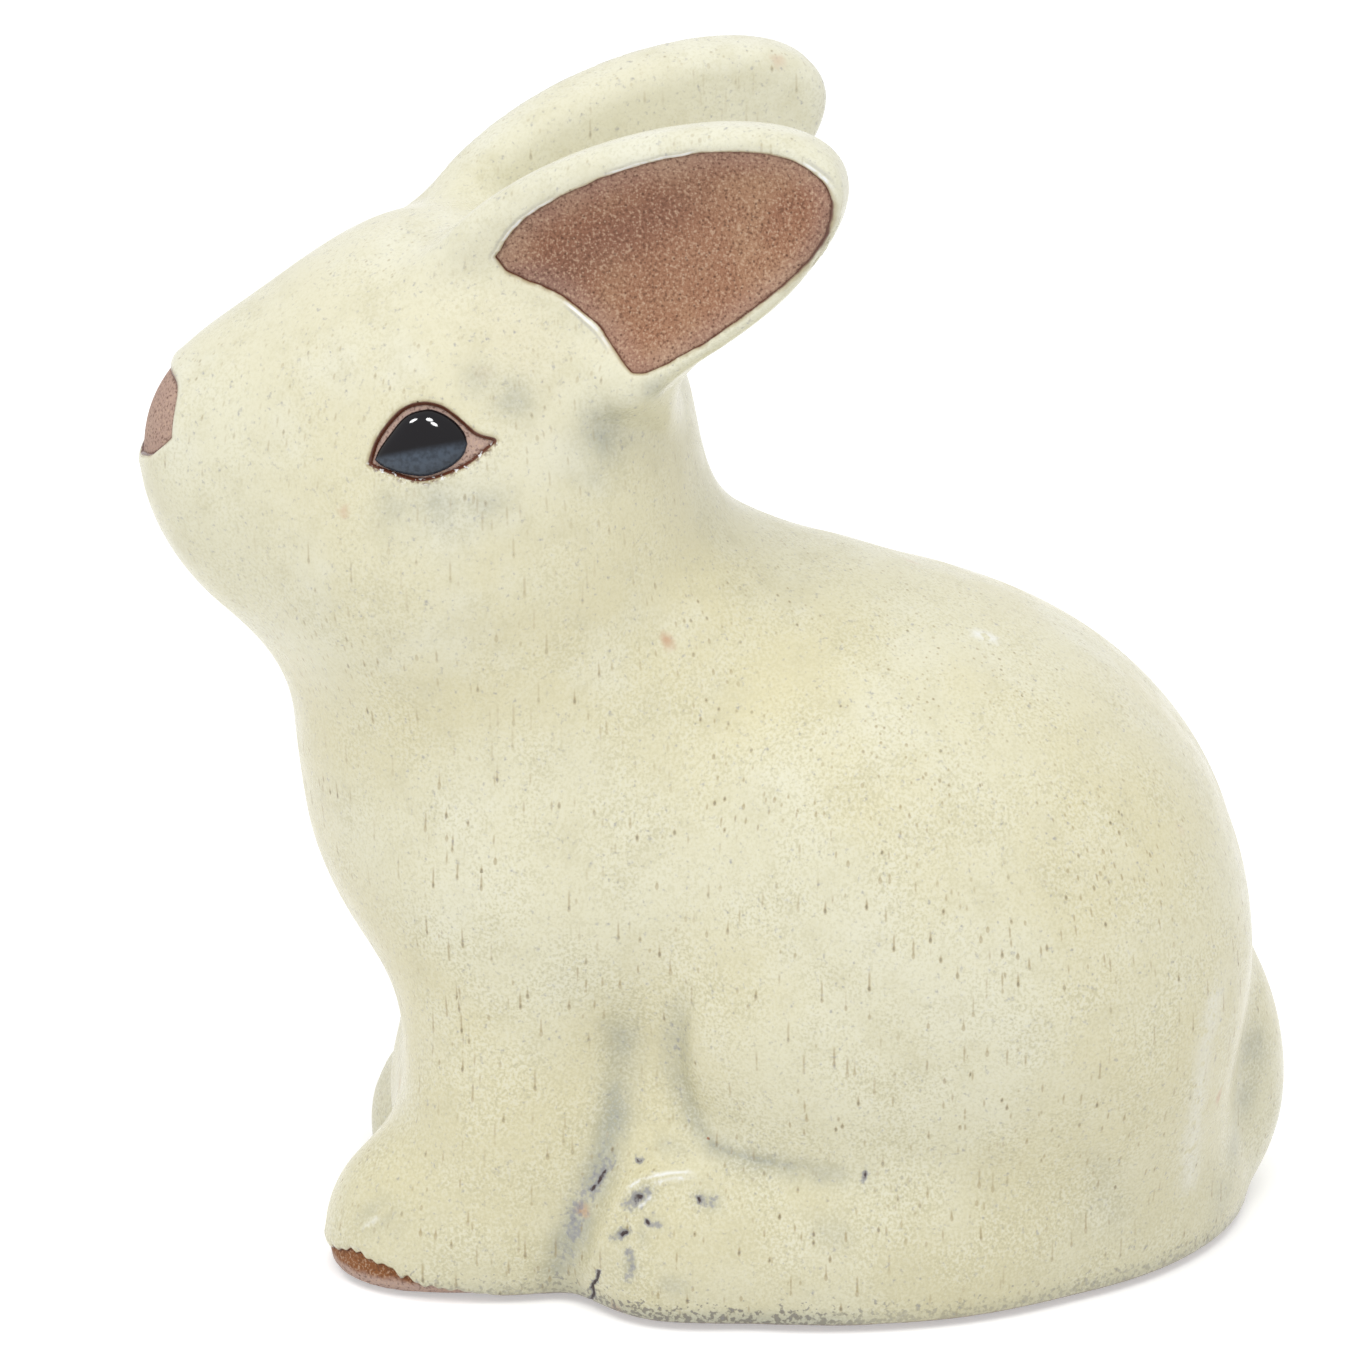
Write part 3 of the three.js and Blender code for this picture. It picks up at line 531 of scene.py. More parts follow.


# Strokes that the potter's tool left in the sides: points (y, z, depth), half width, how much
# glaze has pooled there, with shade painted over it, and how dark the clay shows. A ridge has
# depths below nought.
strokes = [
    ([(4.3, 27.5, 0.1), (4.3, 24, 0.4), (4.2, 21, 0.5), (3.8, 18.2, 0.5), (2.8, 14.5, 0.5),
      (1.8, 11.7, 0.5), (0.4, 8.7, 0.5), (-0.5, 5.9, 0.4), (-1.1, 3.6, 0.3)], 1.2, 0.8, 0),
    ([(1.5, 11.3, 0.2), (2, 11.9, 0.25), (2.7, 13, 0.2)], 0.22, 1, 0.95),
    ([(1.2, 10.9, 0.1), (2.9, 13.6, 0.1)], 0.75, 1.5, 0.35),
    ([(0.5, 9.9, 0.1), (0.1, 8.7, 0.1), (0, 7.2, 0.1)], 0.75, 1.5, 0.4),
    ([(-0.6, 6, 0.05), (-0.9, 4.6, 0.05)], 0.8, 2, 0.2),
    ([(9.8, 30, 0.1), (9.2, 28, 0.3), (9, 24.9, 0.4), (9, 21.7, 0.45), (9.7, 19.4, 0.45),
      (11, 17, 0.4), (12.2, 15.9, 0.35), (13.9, 15.4, 0.3), (16, 15.1, 0.3), (18.1, 14.9, 0.3),
      (20.2, 14.6, 0.25), (22.4, 14.2, 0.2), (25, 14.1, 0.1)], 0.9, 0.5, 0),
    ([(11, 17.2, 0.05), (12.2, 15.9, 0.2), (13.9, 15.4, 0.2), (16, 15.1, 0.2), (18.1, 14.9, 0.2),
      (20.2, 14.6, 0.1)], 0.35, 1.2, 0.08),
    ([(9, 26.5, 0.05), (8.9, 23.5, 0.05)], 0.7, 1.2, 0.15),
    ([(20.5, 14.4, 0.1), (23, 14.1, 0.1)], 0.8, 1.4, 0),
    ([(24.9, 13.8, 0.1), (25, 14.6, 0.1)], 0.2, 0.8, 0.7),
    ([(1.2, 3, -0.1), (1.9, 5.3, -0.35), (2.8, 8, -0.4), (3.6, 10.2, -0.45), (4.9, 12, -0.5),
      (6.2, 12.9, -0.5), (7.5, 13.4, -0.45), (8.7, 13.7, -0.4), (10.2, 13.8, -0.3),
      (12.2, 14, -0.05)], 0.8, 0, 0),
    ([(5.3, 11.4, 0.3), (5.8, 11.8, 0.3)], 0.26, 1, 0.9),
    ([(4.9, 10.9, 0.1), (6.4, 12.1, 0.1)], 0.5, 1.5, 0.4),
    ([(4, 8.5, 0.3), (4.4, 8.8, 0.3)], 0.24, 1, 1),
    ([(3.6, 8.1, 0.1), (4.6, 8.9, 0.1)], 0.35, 1.2, 0.4),
    ([(4.7, 7.2, 0.1), (4.8, 6, 0.2), (4.6, 4.8, 0.1)], 0.45, 1, 0.35),
    ([(6.2, 10, 0.2), (6.3, 9.9, 0.2)], 0.24, 0.8, 0.9),
    ([(6.4, 9.9, 0.1), (7.2, 9.9, 0.1)], 0.45, 1.5, 0.3),
    ([(5.9, 9.4, 0.1), (5.8, 8.4, 0.1)], 0.4, 1.2, 0),
    ([(10.7, 12.1, 0.2), (10.8, 11.9, 0.2)], 0.26, 0.8, 0.9),
    ([(10.9, 11.9, 0.1), (12, 11.8, 0.1)], 0.5, 1.5, 0.3),
    ([(5.7, 14.2, 0.2), (5.8, 14.2, 0.2)], 0.25, 0.5, 0.8),
    ([(8, 15.4, 0.05), (9.4, 15.2, 0.05)], 0.6, 2, 0),
    ([(2.3, 4.8, 0.1), (2, 3.7, 0.3), (1.6, 2.9, 0.3), (1.7, 1.8, 0.3), (1.6, 0.9, 0.2)], 0.12, 0.3,
      1.4),
    ([(22, 9.8, 0.05), (23, 9.2, 0.05)], 1.1, 1.8, 0),
    ([(8.2, 4.8, 0.05), (9, 4.7, 0.05)], 0.8, 2, 0),
    ([(-14.6, 9, 0.05), (-16.2, 7.1, 0.2), (-17.6, 5.7, 0.1)], 0.4, 0.5, 0),
    ([(-15.6, 9.2, 0.05), (-17.4, 7.8, 0.2), (-18.4, 6.6, 0.1)], 0.4, 0.5, 0),
    ([(-14.1, 8, 0.05), (-15.4, 6.2, 0.15)], 0.4, 0.4, 0),
    ([(43, 17.5, 0.05), (45.5, 13, 0.2), (47.5, 8, 0.2), (48.4, 5.5, 0.05)], 1.2, 0.3, 0),
]

# The strokes fade out towards the middle between these two distances from it.
strokeSizes = {"sideFrom": 12, "sideTo": 16, "poolAndShadeSpread": 1.3, "fullPoolAndShadeDepth": 0.3}

# Painted highlights: white glints, on both sides: points in space, half width, how strong, and
# whether they keep to the lip of the glaze.
glints = [
    ([(11.5, -6.3, 92.6), (12.1, -4.7, 94.3), (12.5, -3.0, 95.6), (13, -1, 96.6)], 0.9, 1, True),
    ([(14.3, 4.6, 99.8), (15, 7.7, 100.8), (15.6, 10.5, 101.5)], 0.8, 1, True),
    ([(17.8, 20.7, 101.2), (18, 21.8, 100.2)], 0.8, 1, True),
    ([(13.2, 0.9, 87.8), (13.8, 2.2, 86.3), (14.6, 3.2, 84.9)], 0.8, 1, True),
    ([(24.8, 4.8, 11.7), (24.7, 5.3, 12.4), (24.7, 6.2, 12.9), (25, 7.5, 13.4), (25.2, 8.7, 13.7),
      (25.5, 10.2, 13.8)], 0.11, 0.9, False),
    ([(25.1, 5.9, 12.3), (25.3, 7.2, 12.8), (25.5, 8.5, 13.2), (25.7, 10.4, 13.6)], 0.1, 0.8,
      False),
    ([(25.9, 5.7, 11), (26, 6.2, 11.4), (25.8, 6.6, 11.8)], 0.14, 0.7, False),
    ([(21, 55.6, 27.1), (21.9, 54.7, 22.8), (20.8, 54.2, 15.8), (18.2, 54.2, 8.9)], 1.5, 0.28,
      False),
    ([(8.8, 35.8, 56.6), (8.7, 37, 56.2)], 0.6, 0.7, False),
    ([(24.4, 2.6, 5.1), (24.2, 2.1, 4)], 0.14, 0.9, False),
    ([(18.8, -16.9, 7.2), (18.5, -17.9, 6.2)], 0.2, 0.7, False),
]

# Painted shade: soft grey patches in the glaze, on both sides: middle, radius and how strong.
shades = [
    ((19.9, -11, 73.3), 2.8, 0.55), ((19.2, -14, 72.8), 2, 0.35), ((20.3, -7.2, 73), 2.2, 0.45),
    ((17.1, -4.6, 81.2), 2, 0.6), ((16.9, -6.8, 82.6), 1.6, 0.5), ((16.1, 3, 77.8), 2.6, 0.8),
    ((16.2, 1.6, 74.8), 2.2, 0.4), ((16.6, 7.6, 82.2), 1.1, 1.1), ((16.2, 8.4, 80.8), 0.8, 0.9),
    ((0, 4, 88), 6, 0.3), ((7.7, 60.8, 16.6), 2.4, 0.7), ((9, 59.9, 12.4), 2.2, 0.6),
    ((11, 59.1, 8.4), 2, 0.5), ((13.8, 57.7, 4.9), 2, 0.4),
]


# How strong the painted shade is at each point, from the strongest patch.
def shadeOf(p):
    mirror = mirrored(p)
    return np.max([strength * np.exp(-((mirror - middle) ** 2).sum(1) / radius ** 2)
                   for middle, radius, strength in shades], axis=0)


# How far points are from the span between two places, and the share of the way along it.
def fromLine(p, start, end):
    a, span = np.array(start, float), np.subtract(end, start)
    share = np.clip((p - a) @ span / (span @ span), 0, 1)
    return np.linalg.norm(p - a - share[:, None] * span, axis=1), share


# What the strokes do at each point of the skin: how deep they cut, how much glaze pools in them
# with painted shade, how dark they are, and how far off the nearest one is, in its own half widths.
def strokeMarks(p):
    side = smoothStep(np.abs(p[:, 0]), strokeSizes["sideFrom"], strokeSizes["sideTo"])
    deep, pooledAndShaded, dark = np.zeros((3, len(p)))
    nearest = np.full(len(p), 99.0)
    for path, width, poolAndShadeStrength, darkness in strokes:
        best, depth = np.full(len(p), 1e9), np.zeros(len(p))
        for start, end in zip(path[:-1], path[1:]):
            away, share = fromLine(p[:, 1:], start[:2], end[:2])
            depth = np.where(away < best, start[2] + (end[2] - start[2]) * share, depth)
            best = np.minimum(best, away)
        deep += depth * bell(best, width) * side
        wide = bell(best, width * strokeSizes["poolAndShadeSpread"]) * side
        fullness = np.clip(depth / strokeSizes["fullPoolAndShadeDepth"], 0, 1)
        pooledAndShaded = np.maximum(pooledAndShaded, wide * poolAndShadeStrength * fullness)
        dark = np.maximum(dark, bell(best, width) * side * darkness)
        nearest = np.minimum(nearest, np.where(side > 0, best / width, 99))
    return deep, pooledAndShaded, dark, nearest


# Painted highlights at each point, from the glints whose lip flag matches onLips.
def glintOf(p, onLips):
    mirror = mirrored(p)
    glow = np.zeros(len(p))
    for path, width, strength, onLip in glints:
        for start, end in zip(path[:-1], path[1:]):
            if onLip == onLips:
                glow = np.maximum(glow, strength * bell(fromLine(mirror, start, end)[0], width))
    return glow


# Where the lower eyelids' edge lies, which is flecked with brown and with painted highlights.
lidSizes = {"middle": 0.25, "width": 0.25, "below": (-0.1, 0.5)}


def lidOf(p):
    edge = np.zeros(len(p))
    for side in (1, -1):
        below = smoothStep(-eyeCoordinates(p, side)[1], *lidSizes["below"])
        flecked = bell(eyeOpening(p, side) - lidSizes["middle"], lidSizes["width"])
        edge = np.maximum(edge, flecked * below)
    return edge


# How strong the brown line along each opening's edge is.
lineStrengths = {"leftEar": 0.1, "rightEar": 0.1, "leftEye": 1, "rightEye": 1, "nose": 0.7, "base": 0.3}


def lineOf(p):
    away = np.array([openings[name](p) for name in lineStrengths])
    return np.array(list(lineStrengths.values()))[away.argmin(axis=0)]


# Finer points along the strokes and the edges of the glaze, and all over the eyes. The underside
# needs none.
fineSizes = {"first": 1.2, "second": 0.6, "underside": 0.03, "nearStroke": 2, "dark": 0.05, "glint": 0.1}


def nearEdge(p, reach):
    return (np.abs(bareDistance(p)) < reach) & (p[:, 2] > fineSizes["underside"])


points = pointsOf(skin)
marked = nearEdge(points, fineSizes["first"]) | (strokeMarks(points)[3] < fineSizes["nearStroke"])
skin = refined(skin, marked)
points = settle(pointsOf(skin), rounds=1, reach=0.4)
marked = nearEdge(points, fineSizes["second"]) | (strokeMarks(points)[2] > fineSizes["dark"])
marked |= np.minimum(eyeOpening(points, 1), eyeOpening(points, -1)) < fineSizes["second"]
marked |= glintOf(points, False) > fineSizes["glint"]
skin.update()
skin = refined(skin, marked)
points = settle(pointsOf(skin), rounds=1, reach=0.3)
placePoints(skin, points)
print("skin: refined,", len(skin.vertices), "points")


# Draws the nearer free end of each edge that crosses the level onto the crossing.
def snapped(p, value, free, edges, level):
    first, second = edges[:, 0], edges[:, 1]
    crossing = (value[first] < level) != (value[second] < level)
    first, second = first[crossing], second[crossing]
    share = (level - value[first]) / (value[second] - value[first])
    toFirst = np.where(free[first] & free[second], share < 0.5, free[first])
    near, far = np.where(toFirst, first, second), np.where(toFirst, second, first)
    part = np.where(toFirst, share, 1 - share)
    order = np.argsort(-part)
    order = order[free[near[order]]]
    p, value, free = p.copy(), value.copy(), free.copy()
    p[near[order]] += part[order, None] * (p[far[order]] - p[near[order]])
    value[near[order]], free[near[order]] = level, False
    return p, value, free


skin.update()
bare, free = bareDistance(points), np.ones(len(points), bool)
for level in (coatSizes["end"], *coatSizes["lipLines"]):
    points, bare, free = snapped(points, bare, free, edgesOf(skin), level)
placePoints(skin, points)
normals = unitNormals(points)


# Glaze pools where the form is hollow, and shade is painted there with it: what stands a little
# way off the skin is close to clay again.
poolAndShadeSizes = {"height": 3.0, "from": 0.28, "to": 0.75, "most": 0.6}

closeness = 1 - figureDistance(points + normals * poolAndShadeSizes["height"]) / poolAndShadeSizes["height"]
strokeDepth, strokePoolAndShade, strokeDark, _ = strokeMarks(points)
poolAndShade = np.maximum(smoothStep(closeness, poolAndShadeSizes["from"], poolAndShadeSizes["to"]) * poolAndShadeSizes["most"], strokePoolAndShade)
# The soft grey patches of painted shade join the pooled glaze.
poolAndShade = np.maximum(poolAndShade, shadeOf(points))
# The glaze's marks: bare distance, pooled glaze with painted shade, tool cuts, eyelid edges, edge lines, and
# painted highlights ("glint" free, "rim" on the lip).
marks = {"bare": bare, "poolAndShade": poolAndShade, "dark": strokeDark, "lid": lidOf(points), "line": lineOf(points),
         "glint": glintOf(points, False), "rim": glintOf(points, True)}
points -= normals * strokeDepth[:, None]
placePoints(skin, points)


# The clay castings, feet and tail of the frame, which the coat lies on.
clayNodes = ("clay_body", "clay_head", "tail", "left_hind_foot", "right_hind_foot")


def clayTree():
    bm = bmesh.new()
    for name in clayNodes:
        bm.from_mesh(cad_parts[name].data)
    bmesh.ops.transform(bm, matrix=toFrame.inverted(), verts=bm.verts)
    tree = BVHTree.FromBMesh(bm)
    bm.free()
    return tree


# How far points must move outwards to lie clear of the clay, felt for from just outside the skin.
def lift(p, facing, tree, clearance, start=1.5):
    push = np.zeros(len(p))
    for i, (q, n) in enumerate(zip(p, facing)):
        place, _, _, away = tree.ray_cast(Vector(q + n * start), Vector(-n), start + clearance)
        if place is not None:
            push[i] = start + clearance - away
    return push


# How far the coat's face lies under the skin at its lip.
def lipDepth(bareValue):
    share = np.clip(bareValue / coatSizes["lipWidth"], 0, 1)
    rounded = 1 - np.sqrt(np.maximum(1 - (1 - share) ** coatSizes["lipRounding"], 0))
    bulge = coatSizes["lipBulge"] * bell(bareValue - coatSizes["bulgeMiddle"], coatSizes["bulgeWidth"])
    return coatSizes["thickness"] * rounded - bulge + np.maximum(-bareValue, 0) * coatSizes["endSlope"]


def addAttribute(mesh, name, values):
    attribute = mesh.attributes.new(name, "FLOAT", "POINT")
    attribute.data.foreach_set("value", values.astype(np.float32))


# Closes an open sheet with a second one behind it, each point moved by its own step, and a rim.
def closeBehind(bm, steps):
    front, rim = bm.faces[:], [edge for edge in bm.edges if edge.is_boundary]
    back = {v: bm.verts.new(v.co + Vector(step)) for v, step in zip(bm.verts[:], steps)}
    for face in front:
        bm.faces.new([back[v] for v in reversed(face.verts)])
    for a, b in [edge.verts for edge in rim]:
        bm.faces.new((a, b, back[b], back[a]))
    bmesh.ops.recalc_face_normals(bm, faces=bm.faces)


# Puts a mesh into the frame, as a piece of the figure.
def addPiece(name, mesh, bm):
    bmesh.ops.transform(bm, matrix=toFrame, verts=bm.verts)
    for face in bm.faces:
        face.smooth = True
    bm.to_mesh(mesh)
    bm.free()
    piece = addObject(name, mesh)
    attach(piece, "root")
    return piece


# A piece cut from the skin where the mask holds, moved to new places.
def pieceFromSkin(name, keep, places, attributes, thickness=0):
    mesh = skin.copy()
    mesh.name = name
    for key, values in attributes.items():
        addAttribute(mesh, key, values)
    placePoints(mesh, places)
    bm = bmesh.new()
    bm.from_mesh(mesh)
    number = bm.verts.layers.int.new("number")
    for vert in bm.verts:
        vert[number] = vert.index
    bmesh.ops.delete(bm, geom=[v for v in bm.verts if not keep[v.index]], context="VERTS")
    bmesh.ops.delete(bm, geom=[v for v in bm.verts if not v.link_faces], context="VERTS")
    if thickness:
        bm.verts.ensure_lookup_table()
        closeBehind(bm, -thickness * normals[[v[number] for v in bm.verts]])
    bm.verts.layers.int.remove(number)
    return addPiece(name, mesh, bm)


# A drop of black glaze: rings that spread from its middle to its outline, domed over the skin
# and closed by a face underneath.
def eyeDrop(name, side, rounds=12):
    middle = np.array(eyeSizes["dropMiddle"])
    spokes = outlineOf(eyeSizes["dropUpper"], eyeSizes["dropLower"], steps=4) - middle
    spokes *= eyeSizes["dropSpread"]
    count = len(spokes)
    shares = np.sin(np.linspace(0, math.pi / 2, eyeSizes["rings"] + 1))[1:]
    flat = np.concatenate([np.zeros((1, 2)), *[spokes * share for share in shares], spokes]) + middle
    p = eyeMiddle + flat[:, :1] * eyeAlong + flat[:, 1:] * eyeUp
    for _ in range(rounds):
        p = p - eyeOut * figureDistance(p)[:, None]
    spread = np.concatenate([[0], np.repeat(shares, count), np.ones(count)])
    rise = eyeSizes["dropRise"] * np.sqrt(1 - spread ** 3) - eyeSizes["dropDepth"]
    rise[-count:] = -eyeSizes["dropBack"]
    p = (p + unitNormals(p) * rise[:, None]) * (side, 1, 1)
    bm = bmesh.new()
    verts = [bm.verts.new(q) for q in p]
    for i in range(count):
        bm.faces.new((verts[0], verts[1 + i], verts[1 + (i + 1) % count]))
        for ring in range(eyeSizes["rings"]):
            start = 1 + ring * count
            bm.faces.new((verts[start + i], verts[start + count + i], verts[start + count + (i + 1) % count],
                          verts[start + (i + 1) % count]))
    bm.faces.new(verts[-count:])
    bmesh.ops.recalc_face_normals(bm, faces=bm.faces)
    piece = addPiece(name, bpy.data.meshes.new(name), bm)
    # A painted reflection on the drop's lower part, by its height across the drop.
    sheen = smoothStep(eyeSizes["sheenLevel"] - flat[:, 1], 0, eyeSizes["sheenFade"])
    addAttribute(piece.data, "low", sheen)
    return piece


# The bare clay: how far each shell reaches under the glaze and how rosy it is, where the ears
# turn rosy, and the painted shade along the hollow of their faces.
claySizes = {"clearance": 0.05, "earOverlap": 0.3, "thickness": 0.25, "underside": 0.02, "edgeWidth": 0.08,
             "eyeRim": (0.7, 0.9), "nosePad": (0.8, 0.7), "footLine": (0.8, 0), "rosyEar": 0.28,
             "rosyFade": (-2.6, -0.2), "shadeMiddle": 2.2, "shadeLean": 0.12, "shadeWidth": 2.4,
             "shadeFade": (5, 15)}


def clayMarks(opening, rosy=0):
    return {"edge": bell(opening, claySizes["edgeWidth"]), "rosy": rosy + np.zeros(len(opening))}


# Painted shade in a band along the hollow of an ear's bare face.
def earShade(p, side):
    s, t, _ = earPlace(p * (side, 1, 1))
    away = t - claySizes["shadeMiddle"] - claySizes["shadeLean"] * s
    return bell(away, claySizes["shadeWidth"]) * (1 - smoothStep(s, *claySizes["shadeFade"]))


# How the push off the clay spreads to the points around and is smoothed.
pushSizes = {"covered": -0.05, "spreads": 2, "spread": 0.75, "rounds": 3, "kept": 0.8}

tree = clayTree()
coatPoints = points - normals * lipDepth(bare)[:, None]
covered = bare > pushSizes["covered"]
push = np.zeros(len(points))
push[covered] = lift(coatPoints[covered], normals[covered], tree, coatSizes["clearance"])
for _ in range(pushSizes["spreads"]):
    spread = push.copy()
    for near, far in (edgesOf(skin).T, edgesOf(skin).T[::-1]):
        np.maximum.at(spread, near, push[far] * pushSizes["spread"])
    push = spread
for _ in range(pushSizes["rounds"]):
    push = np.maximum(neighbourMean(push[:, None], edgesOf(skin))[:, 0], push * pushSizes["kept"])
print("coat: lifted off the clay by up to", round(float(push.max()), 2), "mm")
coatPoints += normals * push[:, None]
coat = pieceFromSkin("glaze_coat", bare > coatSizes["end"] - coatSizes["slack"], coatPoints, marks)
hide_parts("body_glaze", "left_ear_glaze", "right_ear_glaze")
print("coat: made")

clayPoints = points - normals * coatSizes["clayDepth"]
clayPoints += normals * lift(clayPoints, normals, tree, claySizes["clearance"])[:, None]


# A shell of bare clay in an opening of the glaze.
def clayShell(name, opening, size):
    reach, rosy = claySizes[size]
    distance = openings[opening](points)
    keep = (distance < reach) & (points[:, 2] > claySizes["underside"])
    return pieceFromSkin(name, keep, clayPoints, clayMarks(distance, rosy), claySizes["thickness"])


clayPieces, drops = [], []
for side, name in ((1, "left"), (-1, "right")):
    leafDistance = earDistance(points * (side, 1, 1))
    onEar = (leafDistance < bodyDistance(points) + claySizes["earOverlap"]) & (points[:, 0] * side > 0)
    opening = openings[f"{name}Ear"](points)
    leafMarks = clayMarks(opening, claySizes["rosyEar"] * smoothStep(opening, *claySizes["rosyFade"]))
    leafMarks["shade"] = earShade(points, side)
    leaf = pieceFromSkin(f"{name}_ear_clay", onEar, clayPoints, leafMarks)
    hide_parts(f"{name}_ear")
    clayPieces += [leaf, clayShell(f"{name}_eye_rim", f"{name}Eye", "eyeRim")]
    drop = eyeDrop(f"{name}_eye_drop", side)
    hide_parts(f"{name}_eye")
    drops.append(drop)
clayPieces += [clayShell("nose_pad", "nose", "nosePad"), clayShell("bare_foot_line", "base", "footLine")]
print("clay: made", len(clayPieces), "pieces")


# Shader maths: a Wire wraps a socket, and an expression on Wires adds its Math nodes.
class Wire:
    def __init__(self, board, socket):
        self.board = board
        self.socket = socket

    def maths(self, operation, first, second):
        return self.board.add("ShaderNodeMath", {"operation": operation}, {0: first, 1: second})

    def __add__(self, other): return self.maths("ADD", self, other)
    def __radd__(self, other): return self.maths("ADD", other, self)
    def __sub__(self, other): return self.maths("SUBTRACT", self, other)
    def __rsub__(self, other): return self.maths("SUBTRACT", other, self)
    def __mul__(self, other): return self.maths("MULTIPLY", self, other)
    def __rmul__(self, other): return self.maths("MULTIPLY", other, self)
    def __pow__(self, other): return self.maths("POWER", self, other)

    def most(self, other): return self.maths("MAXIMUM", self, other)

    # A soft change from the first value of "to" at low to the second one at high.
    def step(self, low, high, to=(0, 1)):
        settings = {"interpolation_type": "SMOOTHSTEP"}
        inputs = {"Value": self, "From Min": low, "From Max": high, "To Min": to[0], "To Max": to[1]}
        return self.board.add("ShaderNodeMapRange", settings, inputs)

    def fall(self, low, high): return self.step(low, high, (1, 0))


# A colour from its values on a screen, 0 to 255.
def tint(*levels):
    parts = [level / 255 for level in levels]
    return (*[c / 12.92 if c <= 0.04045 else ((c + 0.055) / 1.055) ** 2.4 for c in parts], 1)


# The nodes of a material or of the world, added one by one with their settings first and their
# inputs after. A material's colour starts as one of its look's colours.
class Board:
    def __init__(self, owner, look, start=None):
        self.owner = owner
        self.look = look
        self.colour = look.get(start)
        owner.use_nodes = True
        self.tree = owner.node_tree
        self.tree.nodes.clear()
        self.place = self.add("ShaderNodeTexCoord", output="Object")

    def add(self, kind, settings=None, inputs=None, output=0):
        node = self.tree.nodes.new(kind)
        for name, value in (settings or {}).items():
            setattr(node, name, value)
        for name, value in (inputs or {}).items():
            if isinstance(value, Wire):
                self.tree.links.new(value.socket, node.inputs[name])
            else:
                node.inputs[name].default_value = value
        return None if output is None else Wire(self, node.outputs[output])

    def mix(self, share, first, second):
        return self.add("ShaderNodeMix", {"data_type": "RGBA"}, {0: share, 6: first, 7: second}, 2)

    # Lays one of the look's colours over the colour so far.
    def lay(self, share, name):
        self.colour = self.mix(share, self.colour, self.look[name])

    def stretched(self, x, y, z):
        return self.add("ShaderNodeMapping", {}, {"Vector": self.place, "Scale": (x, y, z)})

    def coordinate(self, axis, vector=None):
        return self.add("ShaderNodeSeparateXYZ", {}, {"Vector": vector or self.place}, axis)

    # Noise whose blotches are about as wide as the size given in millimetres.
    def noise(self, size, detail=2, rough=0.5):
        inputs = {"Vector": self.place, "Scale": 0.55 / (size * millimetre), "Detail": detail,
                  "Roughness": rough}
        return self.add("ShaderNodeTexNoise", {}, inputs)

    def cells(self, size, where=None, output="Distance"):
        inputs = {"Vector": where or self.place, "Scale": 1 / (size * millimetre)}
        return self.add("ShaderNodeTexVoronoi", {}, inputs, output)

    def attribute(self, name):
        return self.add("ShaderNodeAttribute", {"attribute_name": name}, output="Fac")

    def bump(self, height, strength, distance):
        inputs = {"Height": height, "Strength": strength, "Distance": distance * millimetre}
        return self.add("ShaderNodeBump", {}, inputs)

    # Ends the material in a Principled surface; its inputs are named as on the node.
    def finish(self, inputs):
        surface = self.add("ShaderNodeBsdfPrincipled", {}, {"Base Color": self.colour, **inputs})
        self.add("ShaderNodeOutputMaterial", {}, {"Surface": surface}, None)
        return self.owner


# The cream glaze's colours, some of which paint shade and highlights, the sizes of its patterns in
# millimetres, the heights and the stretch along the figure, in metres, over which it changes, some
# of them for painted light and shade, its relief (strength and depth) and its gloss.
creamLook = {
    "cream": tint(229, 225, 196), "warm": tint(224, 217, 180), "pale": tint(238, 237, 220),
    "mottle": tint(208, 202, 168), "speck": tint(188, 183, 150), "poolAndShade": tint(158, 162, 154),
    "violet": tint(142, 142, 152), "pit": tint(66, 50, 50), "line": tint(98, 54, 36),
    "tan": tint(156, 132, 84), "core": tint(66, 54, 40), "fleck": tint(198, 146, 112),
    "grime": tint(104, 96, 90), "glint": tint(250, 252, 252),
    "blotchSize": 14, "cloudSize": 2.2, "grainSize": 0.15, "dustSize": 0.25, "pinholeSize": 0.82,
    "fleckSize": 8, "lowPart": (0.03, 0.085), "litHead": (0.06, 0.1), "sheenBack": (0.04, 0.07),
    "shadedFoot": (0.004, 0.03), "shadeAndGrimeFrom": (-0.018, -0.01), "shadeAndGrimeTo": (0.004, 0.014),
    "footShade": (0.0012, 0.003), "grimeBand": (0.0008, 0.004), "grimeTop": (0.003, 0.0045),
    "footLine": (0.0006, 0.0011), "relief": (0.55, 0.12), "roughness": (0.24, 0.34), "refraction": 1.5,
}


